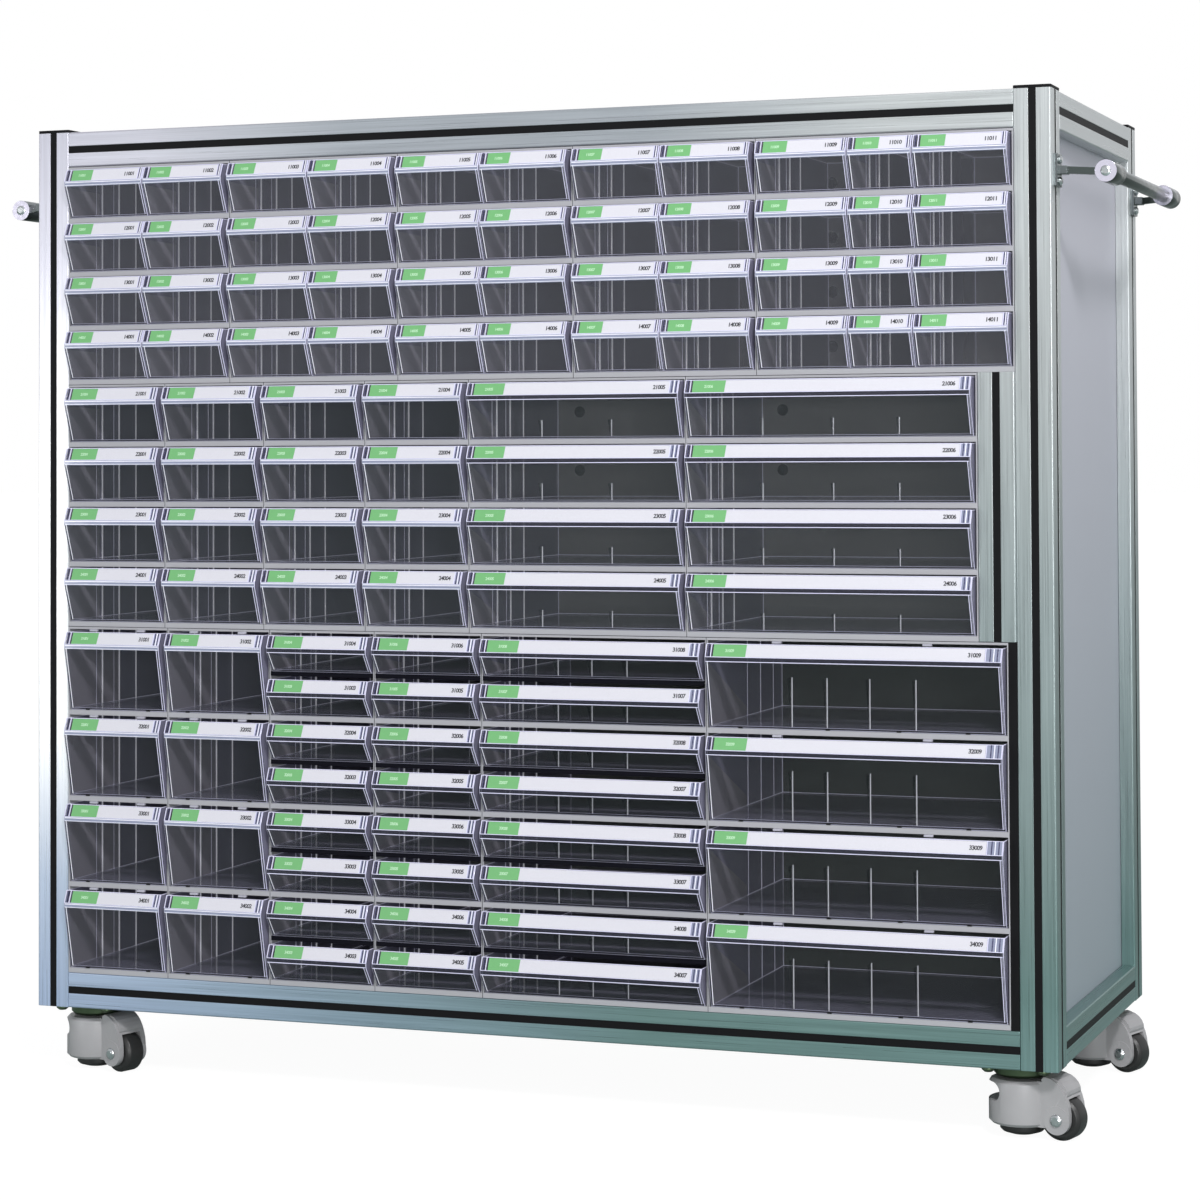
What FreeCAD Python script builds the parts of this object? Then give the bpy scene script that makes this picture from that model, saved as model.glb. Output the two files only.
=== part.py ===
"""Parts bin cabinet: a slotted aluminium frame on four levelling casters.

The frame holds three tiers of light grey housings with 104 clear tilt-front
drawers, and has a tubular handle at each end. Lengths are in millimetres.
X runs along the front, Y runs from the front to the back, Z runs up from the
floor. The origin is on the floor, under the middle of the whole part.
"""
import FreeCAD
import Part
import os
import re
import Sketcher

V = FreeCAD.Vector
Z_AXIS = V(0, 0, 1)

# Sizes that are set by themselves
SIZES = {
    # Frame of square slotted profiles
    "frame_width": 1190,
    "frame_depth": 440,
    "frame_height": 1000,
    "profile_size": 40,
    "profile_edge": 1.2,
    "slot_mouth": 8,
    "slot_lip": 4.5,
    "slot_room": 16,
    "slot_depth": 12.25,
    "core_hole_radius": 3.4,
    "cut_overrun": 1,
    # Slot covers, post caps and panels
    "cover_thickness": 3.5,
    "cover_recess": 0.3,
    "cover_side_fit": 0.1,
    "cap_thickness": 3.2,
    "cap_edge_radius": 1.2,
    "panel_thickness": 7.4,
    "panel_insertion": 10,
    "bearer_width": 30,
    "bearer_spacing": 420,
    # Tiers of housings
    "top_tier_height": 250,
    "middle_tier_height": 276,
    "housing_depth": 250,
    "housing_roof": 3,
    "shelf_thickness": 5.5,
    "upright_thickness": 3,
    "housing_back": 3,
    "half_shelf_thickness": 5,
    "half_shelf_recess": 12,
    "row_count": 4,
    "small_count": 10,
    "narrow_count": 4,
    "mini_share": 0.063,
    "narrow_share": 0.117,
    "medium_share": 0.2352,
    "end_strip_width": 9,
    "end_strip_depth": 20,
    # Drawers
    "drawer_wall": 1.6,
    "drawer_floor": 2,
    "drawer_side_gap": 0.5,
    "drawer_pair_gap": 1,
    "drawer_rest_gap": 0.3,
    "drawer_head_gap": 1.5,
    "low_drawer_head_gap": 3,
    "drawer_back_gap": 4,
    "lip_reach": 15,
    "lip_top_reach": 9,
    "label_drop": 14,
    "ledge_height": 4.5,
    # Handles
    "handle_height_down": 84,
    "handle_reach": 48,
    "handle_tube_radius": 7.5,
    "handle_tube_wall": 1.5,
    "handle_half_length": 182,
    "socket_radius": 11.5,
    "socket_length": 50,
    "socket_cap": 4,
    "bracket_thickness": 4,
    "bracket_width": 22,
    "bracket_height": 34,
    "stub_reach": 9,
    "stub_width": 12,
    "stub_height": 9,
    "arm_thickness": 6,
    "arm_height": 7.5,
    "arm_setback": 13,
    "bracket_screw_spacing": 22,
    "bracket_screw_radius": 2.5,
    "bracket_screw_head_radius": 4.5,
    "bracket_screw_head_height": 3,
    "bracket_screw_grip": 7,
    "end_bolt_radius": 2.2,
    "end_bolt_head_radius": 5.4,
    "end_bolt_head_height": 1.5,
    # Casters
    "caster_height": 75,
    "caster_bolt_spacing": 58,
    "caster_plate_size": 73,
    "caster_plate_thickness": 2.5,
    "race_radius": 30,
    "race_height": 10.5,
    "race_edge": 3,
    "caster_bolt_radius": 3,
    "caster_bolt_grip": 12,
    "caster_bolt_head_radius": 7,
    "caster_bolt_head_height": 4.5,
    "swivel_fit": 0.3,
    "neck_radius": 15,
    "drum_radius": 35,
    "drum_base": 13.5,
    "drum_top": 60,
    "drum_edge": 3,
    "brow_reach": 27.5,
    "wheel_radius": 22.5,
    "wheel_width": 24,
    "wheel_edge": 3.5,
    "wheel_side_gap": 1,
    "wheel_top_gap": 2,
    "axle_trail": 47,
    "axle_radius": 4,
    "axle_fit": 0.1,
    "axle_head_radius": 6.5,
    "axle_head_height": 3,
    "cheek_thickness": 6,
    "boss_radius": 14.5,
    "boss_rise": 0.8,
    "hood_top": 65,
    "hood_inset": 3,
    "foot_radius": 23.5,
    "foot_lift": 2,
    "foot_thickness": 16.5,
    "foot_edge": 5,
    "foot_side_gap": 1,
    "foot_recess_top": 30,
    "stem_radius": 5,
    "stem_top": 58,
    "dial_radius": 25,
    "dial_thickness": 10,
    "dial_room_base": 37,
    "dial_room_top": 56.5,
    "dial_side_gap": 1.5,
    "dial_fit": 0.3,
    "window_depth": 25,
}

# How far each caster is turned about its swivel, in degrees
TURNS = {"front_left": -20, "front_right": -13, "back_left": 14, "back_right": -18}

# Sizes that follow from those above
DERIVED = {
    "half_width": "frame_width / 2",
    "front_face": "(lip_reach - frame_depth) / 2",
    "back_face": "front_face + frame_depth",
    "middle_depth": "(front_face + back_face) / 2",
    "frame_base": "caster_height",
    "frame_top": "frame_base + frame_height",
    "inner_width": "frame_width - 2 * profile_size",
    "inner_half": "inner_width / 2",
    "inner_depth": "frame_depth - 2 * profile_size",
    "inner_height": "frame_height - 2 * profile_size",
    "inner_base": "frame_base + profile_size",
    "inner_top": "frame_top - profile_size",
    "half_profile": "profile_size / 2",
    "low_tier_height": "inner_height - top_tier_height - middle_tier_height",
    "middle_tier_base": "inner_base + low_tier_height",
    "top_tier_base": "middle_tier_base + middle_tier_height",
    "mini_column": "inner_width * mini_share",
    "small_column": "(inner_width - mini_column) / small_count",
    "middle_width": "inner_width - profile_size",
    "narrow_column": "middle_width * narrow_share",
    "medium_column": "middle_width * medium_share",
    "wide_column": "middle_width - narrow_count * narrow_column - medium_column",
    "low_width": "inner_width - end_strip_width",
    "low_narrow_column": "low_width * narrow_share",
    "low_medium_column": "low_width * medium_share",
    "low_wide_column": "low_width - narrow_count * low_narrow_column - low_medium_column",
    "top_pitch": "(top_tier_height - housing_roof) / row_count",
    "middle_pitch": "(middle_tier_height - housing_roof) / row_count",
    "low_pitch": "(low_tier_height - housing_roof) / row_count",
    "top_opening": "top_pitch - shelf_thickness",
    "middle_opening": "middle_pitch - shelf_thickness",
    "low_opening": "low_pitch - shelf_thickness",
    "half_opening": "(low_opening - half_shelf_thickness) / 2",
    "drawer_depth": "housing_depth - housing_back - drawer_back_gap",
    "label_lean": "lip_reach - lip_top_reach",
    "label_slant": "sqrt(label_lean * label_lean + label_drop * label_drop)",
    "handle_axis_height": "frame_top - handle_height_down",
    "handle_axis_side": "half_width + handle_reach",
    "stub_end": "half_width + bracket_thickness + stub_reach",
    "caster_inset": "half_profile + caster_bolt_spacing / 2",
    "caster_side": "half_width - caster_inset",
    "wheel_room_half": "wheel_width / 2 + wheel_side_gap",
    "cheek_half": "wheel_room_half + cheek_thickness",
    "plate_base": "caster_height - caster_plate_thickness",
    "race_base": "plate_base - race_height",
    "neck_top": "plate_base - swivel_fit",
    "dial_base": "dial_room_top - dial_fit - dial_thickness",
    "window_radius": "(dial_room_top - dial_room_base) / 2",
    "window_end": "drum_radius - window_depth + window_radius",
    "wheel_room_radius": "wheel_radius + wheel_top_gap",
    "foot_flat_side": "axle_trail - wheel_radius - foot_side_gap - cut_overrun",
}

doc = FreeCAD.newDocument("parts_bin_cabinet")
sheet = doc.addObject("Spreadsheet::Sheet", "Sizes")
for number, (name, value) in enumerate(SIZES.items(), start=1):
    sheet.set(f"A{number}", name)
    sheet.set(f"B{number}", str(value))
    sheet.setAlias(f"B{number}", name)
for number, (name, formula) in enumerate(DERIVED.items(), start=1):
    sheet.set(f"D{number}", name)
    sheet.set(f"E{number}", "=" + formula)
    sheet.setAlias(f"E{number}", name)
doc.recompute()

NAMES = set(SIZES) | set(DERIVED)
nodes = {}


def in_sheet(formula):
    """Give a formula with each size name pointed at the sheet of sizes."""
    return re.sub(r"[a-z_]+", lambda m: "Sizes." + m[0] if m[0] in NAMES else m[0], formula)


def amount(formula):
    """Give the present value of a formula in the named sizes."""
    return float(sheet.evalExpression(formula))


def bind(thing, prop, formula):
    """Tie a property of an object to a formula in the named sizes."""
    thing.setExpression(prop, in_sheet(formula))


def place(thing, x="0", y="0", z="0"):
    """Tie the place of an object to three formulas."""
    for axis, formula in zip("xyz", (x, y, z)):
        bind(thing, f"Placement.Base.{axis}", formula)
    return thing


def box(name, size, at):
    """Make a box with tied sizes and a tied lower left front corner."""
    made = doc.addObject("Part::Box", name)
    for prop, formula in zip(("Length", "Width", "Height"), size):
        bind(made, prop, formula)
    return place(made, *at)


def cylinder(name, radius, height, at, axis=Z_AXIS):
    """Make a cylinder with tied radius, height and base centre."""
    made = doc.addObject("Part::Cylinder", name)
    bind(made, "Radius", radius)
    bind(made, "Height", height)
    made.Placement = FreeCAD.Placement(V(), FreeCAD.Rotation(Z_AXIS, axis))
    return place(made, *at)


def fuse(name, pieces):
    """Join overlapping pieces into one solid."""
    made = doc.addObject("Part::MultiFuse", name)
    made.Shapes = pieces
    return made


def cut(name, base, tool):
    """Take one piece away from another."""
    made = doc.addObject("Part::Cut", name)
    made.Base, made.Tool = base, tool
    return made


def new_body(name):
    """Make an empty body."""
    return doc.addObject("PartDesign::Body", name)


def sketch(body, plane, name, outlines=(), circles=()):
    """Draw closed outlines and circles, each point tied, on one of the body's own planes."""
    made = body.newObject("Sketcher::SketchObject", name)
    origin = [f for f in body.Origin.OriginFeatures if f.Role == plane + "_Plane"][0]
    made.AttachmentSupport = [(origin, "")]
    made.MapMode = "FlatFace"
    for points in outlines:
        first = made.GeometryCount
        places = [V(amount(x), amount(y), 0) for x, y in points]
        count = len(points)
        for i in range(count):
            made.addGeometry(Part.LineSegment(places[i], places[(i + 1) % count]), False)
        for i in range(count):
            made.addConstraint(Sketcher.Constraint(
                "Coincident", first + i, 2, first + (i + 1) % count, 1))
        for i, (x, y) in enumerate(points):
            tie_point(made, first + i, 1, x, y)
    for x, y, radius in circles:
        index = made.addGeometry(
            Part.Circle(V(amount(x), amount(y), 0), Z_AXIS, amount(radius)), False)
        tie_point(made, index, 3, x, y)
        tied = made.addConstraint(Sketcher.Constraint("Radius", index, amount(radius)))
        bind(made, f"Constraints[{tied}]", radius)
    return made


def tie_point(made, index, end, x, y):
    """Hold one point of a sketch at two formulas."""
    for kind, formula, axis in (("DistanceX", x, -2), ("DistanceY", y, -1)):
        if formula == "0":
            made.addConstraint(Sketcher.Constraint("PointOnObject", index, end, axis))
        else:
            tied = made.addConstraint(Sketcher.Constraint(kind, -1, 1, index, end, amount(formula)))
            bind(made, f"Constraints[{tied}]", formula)


def through(body, kind, made, length):
    """Pad or pocket a sketch evenly to both sides of its plane."""
    feature = body.newObject("PartDesign::" + kind, made.Name + kind)
    feature.Profile = made
    feature.Midplane = True
    bind(feature, "Length", length)
    body.Tip = feature
    return feature


def turned(body, kind, made):
    """Turn a sketch once round its own upright axis, to add or to take away."""
    feature = body.newObject("PartDesign::" + kind, made.Name + kind)
    feature.Profile = made
    feature.ReferenceAxis = (made, ["V_Axis"])
    feature.Angle = 360
    body.Tip = feature
    return feature


def copy(master, name, at, axis=Z_AXIS, turn=0):
    """Put a linked copy of a master at a tied place, turned about an axis."""
    made = doc.addObject("App::Link", name)
    made.LinkedObject = master
    made.LinkTransform = True
    made.Placement = FreeCAD.Placement(V(), FreeCAD.Rotation(axis, turn))
    return place(made, *at)


def node(label, pieces):
    """Gather the solids of one named piece for its own file."""
    made = doc.addObject("Part::Compound", label)
    made.Links = pieces
    made.Label = label
    nodes[label] = made


def rectangle(left, low, right, high):
    """Give the four corners of an outline."""
    return [(left, low), (right, low), (right, high), (left, high)]


# Square profile with a slot in each side and a core hole
def slot_points(side):
    """Give the outline of one slot, open past the profile's side."""
    outer, lip = "(half_profile + cut_overrun)", "(half_profile - slot_lip)"
    deep, mouth, room = "(half_profile - slot_depth)", "(slot_mouth / 2)", "(slot_room / 2)"
    run = [(outer, "-" + mouth), (outer, mouth), (lip, mouth), (lip, room), (deep, mouth)]
    run += [(deep, "-" + mouth), (lip, "-" + room), (lip, "-" + mouth)]
    swaps = {
        "right": lambda a, b: (a, b), "left": lambda a, b: (minus(a), b),
        "back": lambda a, b: (b, a), "front": lambda a, b: (b, minus(a))}
    return [swaps[side](a, b) for a, b in run]


def minus(formula):
    """Give the formula with its sign turned."""
    return formula[1:] if formula.startswith("-") else "-" + formula


def profile(name, length):
    """Make a length of profile that stands evenly about its middle."""
    body = new_body(name)
    far, near = "half_profile", "(half_profile - profile_edge)"
    corners = [(far, "-" + near), (far, near), (near, far), ("-" + near, far)]
    corners += [("-" + far, near), ("-" + far, "-" + near), ("-" + near, "-" + far)]
    corners += [(near, "-" + far)]
    through(body, "Pad", sketch(body, "XY", name + "_section", [corners]), length)
    slots = [slot_points(side) for side in ("right", "left", "back", "front")]
    hollows = sketch(
        body, "XY", name + "_hollows", slots, [("0", "0", "core_hole_radius")])
    through(body, "Pocket", hollows, length + " + 2 * cut_overrun")
    return body


# Frame
POST_SIDES = {"left": "(-half_width + half_profile)", "right": "(half_width - half_profile)"}
POST_DEPTHS = {"front": "(front_face + half_profile)", "back": "(back_face - half_profile)"}
RAIL_HEIGHTS = {"low": "(frame_base + half_profile)", "top": "(frame_top - half_profile)"}
X_AXIS, Y_AXIS = V(1, 0, 0), V(0, 1, 0)

post = profile("post", "frame_height")
long_rail = profile("long_rail", "inner_width")
end_rail = profile("end_rail", "inner_depth")
filler = profile("filler", "middle_tier_height")
node("corner_posts", [
    copy(post, f"post_{side}_{end}", (x, y, "frame_base + frame_height / 2"))
    for side, x in POST_SIDES.items() for end, y in POST_DEPTHS.items()])
node("long_rails", [
    copy(long_rail, f"rail_{end}_{level}", ("0", y, z), Y_AXIS, 90)
    for end, y in POST_DEPTHS.items() for level, z in RAIL_HEIGHTS.items()])
node("end_rails", [
    copy(end_rail, f"rail_{side}_{level}", (x, "middle_depth", z), X_AXIS, 90)
    for side, x in POST_SIDES.items() for level, z in RAIL_HEIGHTS.items()])
FILLER_SIDE = "(inner_half - half_profile)"
node("filler_profile", [copy(filler, "filler_upright", (
    FILLER_SIDE, POST_DEPTHS["front"], "middle_tier_base + middle_tier_height / 2"))])

# Strips that close the outer slots, one strip in each
COVER = "(slot_mouth - 2 * cover_side_fit)"
BRACKET_LOW = "(handle_axis_height - bracket_height / 2)"
BRACKET_HIGH = "(handle_axis_height + bracket_height / 2)"
covers = []


def cover(name, axis, length, at, face, outward):
    """Lay a strip along an axis, its outer face just under the given face of the profile."""
    size = {"x": COVER, "y": COVER, "z": COVER}
    start = dict(zip("xyz", at))
    for side in "xyz":
        start[side] = f"{start[side]} - {COVER} / 2"
    size[axis] = length
    start[axis] = f"{at['xyz'.index(axis)]} - {length} / 2"
    size[face] = "cover_thickness"
    middle = at["xyz".index(face)]
    start[face] = f"{middle} + half_profile - cover_recess - cover_thickness" if outward > 0 \
        else f"{middle} - half_profile + cover_recess"
    covers.append(box(name, [size[c] for c in "xyz"], [start[c] for c in "xyz"]))


for end, y in POST_DEPTHS.items():
    away = 1 if end == "back" else -1
    for side, x in POST_SIDES.items():
        middle = (x, y, "(frame_base + frame_height / 2)")
        cover(f"cover_{side}_{end}", "z", "frame_height", middle, "y", away)
        outward = 1 if side == "right" else -1
        for part, low, high in (
                ("under", "frame_base", BRACKET_LOW), ("over", BRACKET_HIGH, "frame_top")):
            cover(f"cover_{side}_{end}_{part}", "z", f"({high} - {low})",
                  (x, y, f"({high} + {low}) / 2"), "x", outward)
    for level, z in RAIL_HEIGHTS.items():
        cover(f"cover_{end}_{level}", "x", "inner_width", ("0", y, z), "y", away)
for side, x in POST_SIDES.items():
    for level, z in RAIL_HEIGHTS.items():
        cover(f"cover_{side}_{level}_end", "y", "inner_depth", (x, "middle_depth", z), "x",
              1 if side == "right" else -1)
cover("cover_filler", "z", "middle_tier_height", (
    FILLER_SIDE, POST_DEPTHS["front"], "(middle_tier_base + middle_tier_height / 2)"), "y", -1)
node("slot_covers", covers)

cap = new_body("cap")
far, near = "half_profile", "(half_profile - cap_edge_radius)"
through(cap, "Pad", sketch(cap, "XY", "cap_section", [[
    (far, "-" + near), (far, near), (near, far), ("-" + near, far), ("-" + far, near),
    ("-" + far, "-" + near), ("-" + near, "-" + far), (near, "-" + far)]]), "cap_thickness")
node("post_caps", [
    copy(cap, f"cap_{side}_{end}", (x, y, "frame_top + cap_thickness / 2"))
    for side, x in POST_SIDES.items() for end, y in POST_DEPTHS.items()])

# Panels, each held in the slots around it
PANEL_HEIGHT = "inner_height + 2 * panel_insertion"
PANEL_BASE = "inner_base - panel_insertion"
node("end_panels", [
    box(f"panel_{side}", ("panel_thickness", "inner_depth + 2 * panel_insertion", PANEL_HEIGHT),
        (f"{x} - panel_thickness / 2", "front_face + profile_size - panel_insertion", PANEL_BASE))
    for side, x in POST_SIDES.items()])
node("back_panel", [box(
    "panel_back", ("inner_width + 2 * panel_insertion", "panel_thickness", PANEL_HEIGHT),
    ("-inner_half - panel_insertion", POST_DEPTHS["back"] + " - panel_thickness / 2", PANEL_BASE))])


def lying_panel(label, level):
    """Make a level panel with its corners cut back round the posts."""
    body = new_body(label + "_board")
    long_in, long_out = "inner_half", "(inner_half + panel_insertion)"
    deep_in, deep_out = "(inner_depth / 2)", "(inner_depth / 2 + panel_insertion)"
    quarter = [(long_out, deep_in), (long_in, deep_in), (long_in, deep_out)]
    points = quarter + [(minus(x), y) for x, y in reversed(quarter)]
    lower = [(x, minus(y)) for x, y in reversed(points)]
    through(body, "Pad", sketch(body, "XY", label + "_outline", [points + lower]), "panel_thickness")
    node(label, [copy(body, label + "_laid", ("0", "middle_depth", level))])


lying_panel("top_panel", RAIL_HEIGHTS["top"])
lying_panel("floor_panel", RAIL_HEIGHTS["low"])
FLOOR_TOP = "(frame_base + half_profile + panel_thickness / 2)"
node("floor_bearers", [
    box(f"bearer_{name}", ("bearer_width", "inner_depth", "half_profile - panel_thickness / 2"),
        (f"{shift} - bearer_width / 2", "front_face + profile_size", FLOOR_TOP))
    for name, shift in (("left", "-bearer_spacing"), ("middle", "0"), ("right", "bearer_spacing"))])

# Housings: roof, shelves, uprights and a back wall for each tier
SMALL, MINI = "small_column", "mini_column"
TIERS = {
    "top": {
        "base": "top_tier_base", "height": "top_tier_height", "pitch": "top_pitch",
        "opening": "top_opening", "head": "drawer_head_gap",
        "bays": [[("small", SMALL)] * 2] * 4 + [[("small", SMALL), ("mini", MINI), ("small", SMALL)]]},
    "middle": {
        "base": "middle_tier_base", "height": "middle_tier_height", "pitch": "middle_pitch",
        "opening": "middle_opening", "head": "drawer_head_gap",
        "bays": [[("narrow", "narrow_column")]] * 4
        + [[("medium", "medium_column")], [("wide", "wide_column")]]},
    "low": {
        "base": "inner_base", "height": "low_tier_height", "pitch": "low_pitch",
        "opening": "low_opening", "head": "low_drawer_head_gap",
        "bays": [[("tall", "low_narrow_column")]] * 2 + [[("flat", "low_narrow_column")]] * 2
        + [[("flat_medium", "low_medium_column")], [("tall_wide", "low_wide_column")]]},
}
DOUBLED = ("flat", "flat_medium")


def drawer(name, width, height):
    """Make a clear drawer with a slanted label face that leans out over the front."""
    body = new_body(name + "_drawer")
    ledge, label_foot = f"({height} - label_drop - ledge_height)", f"({height} - label_drop)"
    outer = [
        ("0", "0"), ("drawer_depth", "0"), ("drawer_depth", height), ("-lip_top_reach", height),
        ("-lip_reach", label_foot), ("-lip_reach", ledge)]
    side = sketch(body, "YZ", name + "_side", [outer])
    through(body, "Pad", side, width)
    inner_lip = "(drawer_wall - lip_reach)"
    inner_foot = f"({label_foot} + drawer_wall * (label_drop - label_slant) / label_lean)"
    inner_top = "(drawer_wall * label_slant / label_drop - lip_top_reach)"
    over = f"({height} + cut_overrun)"
    inner = [
        ("drawer_wall", "drawer_floor"), ("(drawer_depth - drawer_wall)", "drawer_floor"),
        ("(drawer_depth - drawer_wall)", over), (inner_top, over), (inner_top, height),
        (inner_lip, inner_foot), (inner_lip, ledge)]
    hollow = sketch(body, "YZ", name + "_inside", [inner])
    through(body, "Pocket", hollow, f"{width} - 2 * drawer_wall")
    return body


HOUSING_ROOM = "housing_depth - housing_back"
BY_UPRIGHT, BY_NEIGHBOUR = "(upright_thickness / 2 + drawer_side_gap)", "(drawer_pair_gap / 2)"
masters = {}
placed = []
for tier, plan in TIERS.items():
    base, pitch, opening = plan["base"], plan["pitch"], plan["opening"]
    span = " + ".join(width for bay in plan["bays"] for _, width in bay)
    plates = [
        box(f"{tier}_back", (span, "housing_back", plan["height"]),
            ("-inner_half", "front_face + housing_depth - housing_back", base)),
        box(f"{tier}_roof", (span, HOUSING_ROOM, "housing_roof"),
            ("-inner_half", "front_face", f"{base} + {plan['height']} - housing_roof"))]
    for row in range(SIZES["row_count"]):
        shelf = f"{base} + {row} * {pitch}"
        plates.append(box(f"{tier}_shelf_{row}", (span, HOUSING_ROOM, "shelf_thickness"),
                          ("-inner_half", "front_face", shelf)))
        edge = "-inner_half"
        for column, bay in enumerate(plan["bays"]):
            first = column == 0
            plates.append(box(
                f"{tier}_upright_{row}_{column}",
                ("upright_thickness" + (" / 2" if first else ""), HOUSING_ROOM, opening),
                (edge + ("" if first else " - upright_thickness / 2"), "front_face",
                 f"{shelf} + shelf_thickness")))
            for place_in_bay, (kind, width) in enumerate(bay):
                at_left = BY_UPRIGHT if place_in_bay == 0 else BY_NEIGHBOUR
                at_right = BY_UPRIGHT if place_in_bay == len(bay) - 1 else BY_NEIGHBOUR
                levels = [f"{shelf} + shelf_thickness + drawer_rest_gap"]
                room = opening
                if kind in DOUBLED:
                    room = "half_opening"
                    levels.append(levels[0] + " + half_opening + half_shelf_thickness")
                    plates.append(box(
                        f"{tier}_half_shelf_{row}_{column}",
                        (f"{width} - upright_thickness", HOUSING_ROOM + " - half_shelf_recess",
                         "half_shelf_thickness"),
                        (edge + " + upright_thickness / 2", "front_face + half_shelf_recess",
                         f"{shelf} + shelf_thickness + half_opening")))
                if kind not in masters:
                    masters[kind] = drawer(
                        kind, f"({width} - {at_left} - {at_right})",
                        f"({room} - drawer_rest_gap - {plan['head']})")
                middle = f"{edge} + {at_left} + ({width} - {at_left} - {at_right}) / 2"
                for level, height in enumerate(levels):
                    name = f"{tier}_{row}_{column}_{place_in_bay}_{level}"
                    placed.append((name, kind, tier, row, copy(
                        masters[kind], "drawer_" + name, (middle, "front_face", height))))
                edge += " + " + width
        plates.append(box(
            f"{tier}_upright_{row}_end", ("upright_thickness / 2", HOUSING_ROOM, opening),
            (edge + " - upright_thickness / 2", "front_face", f"{shelf} + shelf_thickness")))
    node(f"{tier}_housing", plates)
node("end_strip", [box(
    "strip", ("end_strip_width", "end_strip_depth", "low_tier_height"),
    ("inner_half - end_strip_width", "front_face", "inner_base"))])

# One drawer of each size slides by itself, and the rest of each row slides together
SINGLES = {
    "top_3_4_2_0": "top_right_drawer", "top_3_4_1_0": "top_mini_drawer",
    "middle_3_5_0_0": "middle_wide_drawer", "middle_2_4_0_0": "middle_medium_drawer",
    "middle_3_0_0_0": "middle_narrow_drawer", "low_3_5_0_0": "low_wide_drawer",
    "low_2_0_0_0": "low_tall_drawer"}
ROW_NAMES = ("first", "second", "third", "fourth")
for name, label in SINGLES.items():
    node(label, [link for place_name, _, _, _, link in placed if place_name == name])
for tier in TIERS:
    for row, row_name in enumerate(reversed(ROW_NAMES)):
        rest = [link for name, _, of_tier, of_row, link in placed
                if of_tier == tier and of_row == row and name not in SINGLES]
        node(f"{tier}_{row_name}_row_drawers", rest)


HEAD_EDGE_SHARE, HEAD_CROWN_SHARE = 0.45, 0.6


def screw(name, radius, grip, head_radius, head_height):
    """Make a domed screw that points down, with its seat at its own base."""
    body = new_body(name)
    edge_up, edge_in = f"({head_height} * {HEAD_EDGE_SHARE})", f"({head_radius} * {HEAD_CROWN_SHARE})"
    turned(body, "Revolution", sketch(body, "XZ", name + "_half", [[
        ("0", f"-({grip})"), (radius, f"-({grip})"), (radius, "0"), (head_radius, "0"),
        (head_radius, edge_up), (edge_in, head_height), ("0", head_height)]]))
    return body


# Handles: the front right corner is made, and turned about for the others
POST_SHIFT = "(frame_depth / 2 - half_profile)"
CORNERS = {
    "right_front": (Z_AXIS, 0), "right_back": (X_AXIS, 180),
    "left_back": (Z_AXIS, 180), "left_front": (Y_AXIS, 180)}
HANDLE_CENTRE = ("0", "middle_depth", "handle_axis_height")
SCREW_HEIGHT = "(bracket_screw_spacing / 2)"
FACE = "(half_width + bracket_thickness)"

bracket = cut("bracket", fuse("bracket_plate_and_stub", [
    box("bracket_plate", ("bracket_thickness", "bracket_width", "bracket_height"),
        ("half_width", f"-{POST_SHIFT} - bracket_width / 2", "-bracket_height / 2")),
    box("bracket_stub", ("stub_reach + bracket_thickness", "stub_width", "stub_height"),
        ("half_width", f"-{POST_SHIFT} - stub_width / 2", "-stub_height / 2"))]),
    fuse("bracket_holes", [
        cylinder(f"bracket_hole_{name}", "bracket_screw_radius", "bracket_thickness + 2 * cut_overrun",
                 ("half_width - cut_overrun", f"-{POST_SHIFT}", height), X_AXIS)
        for name, height in (("low", "-" + SCREW_HEIGHT), ("top", SCREW_HEIGHT))]))

arm = new_body("arm")
ARM_END = "(handle_half_length - arm_setback)"
through(arm, "Pad", sketch(arm, "XY", "arm_outline", [[
    ("stub_end", f"-({POST_SHIFT} + arm_thickness / 2)"),
    ("handle_axis_side", f"-({ARM_END} + arm_thickness / 2)"),
    ("handle_axis_side", f"-({ARM_END} - arm_thickness / 2)"),
    ("stub_end", f"-({POST_SHIFT} - arm_thickness / 2)")]]), "arm_height")
socket = cut("socket", fuse("socket_and_arm", [arm, cylinder(
    "socket_barrel", "socket_radius", "socket_length",
    ("handle_axis_side", "-handle_half_length", "0"), Y_AXIS)]), fuse("socket_holes", [
        cylinder("socket_bore", "handle_tube_radius", "socket_length",
                 ("handle_axis_side", "-handle_half_length + socket_cap", "0"), Y_AXIS),
        cylinder("socket_bolt_hole", "end_bolt_radius", "socket_length",
                 ("handle_axis_side", "-handle_half_length - cut_overrun", "0"), Y_AXIS)]))

TUBE_HALF = "(handle_half_length - socket_cap)"
tube = cut("tube", cylinder(
    "tube_outside", "handle_tube_radius", f"2 * {TUBE_HALF}",
    ("handle_axis_side", f"-{TUBE_HALF}", "0"), Y_AXIS), cylinder(
        "tube_inside", "handle_tube_radius - handle_tube_wall", f"2 * ({TUBE_HALF} + cut_overrun)",
        ("handle_axis_side", f"-{TUBE_HALF} - cut_overrun", "0"), Y_AXIS))

bracket_screw = screw(
    "bracket_screw", "bracket_screw_radius", "bracket_thickness + bracket_screw_grip",
    "bracket_screw_head_radius", "bracket_screw_head_height")
end_bolt = screw("end_bolt", "end_bolt_radius", "socket_cap", "end_bolt_head_radius",
                 "end_bolt_head_height")

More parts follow.
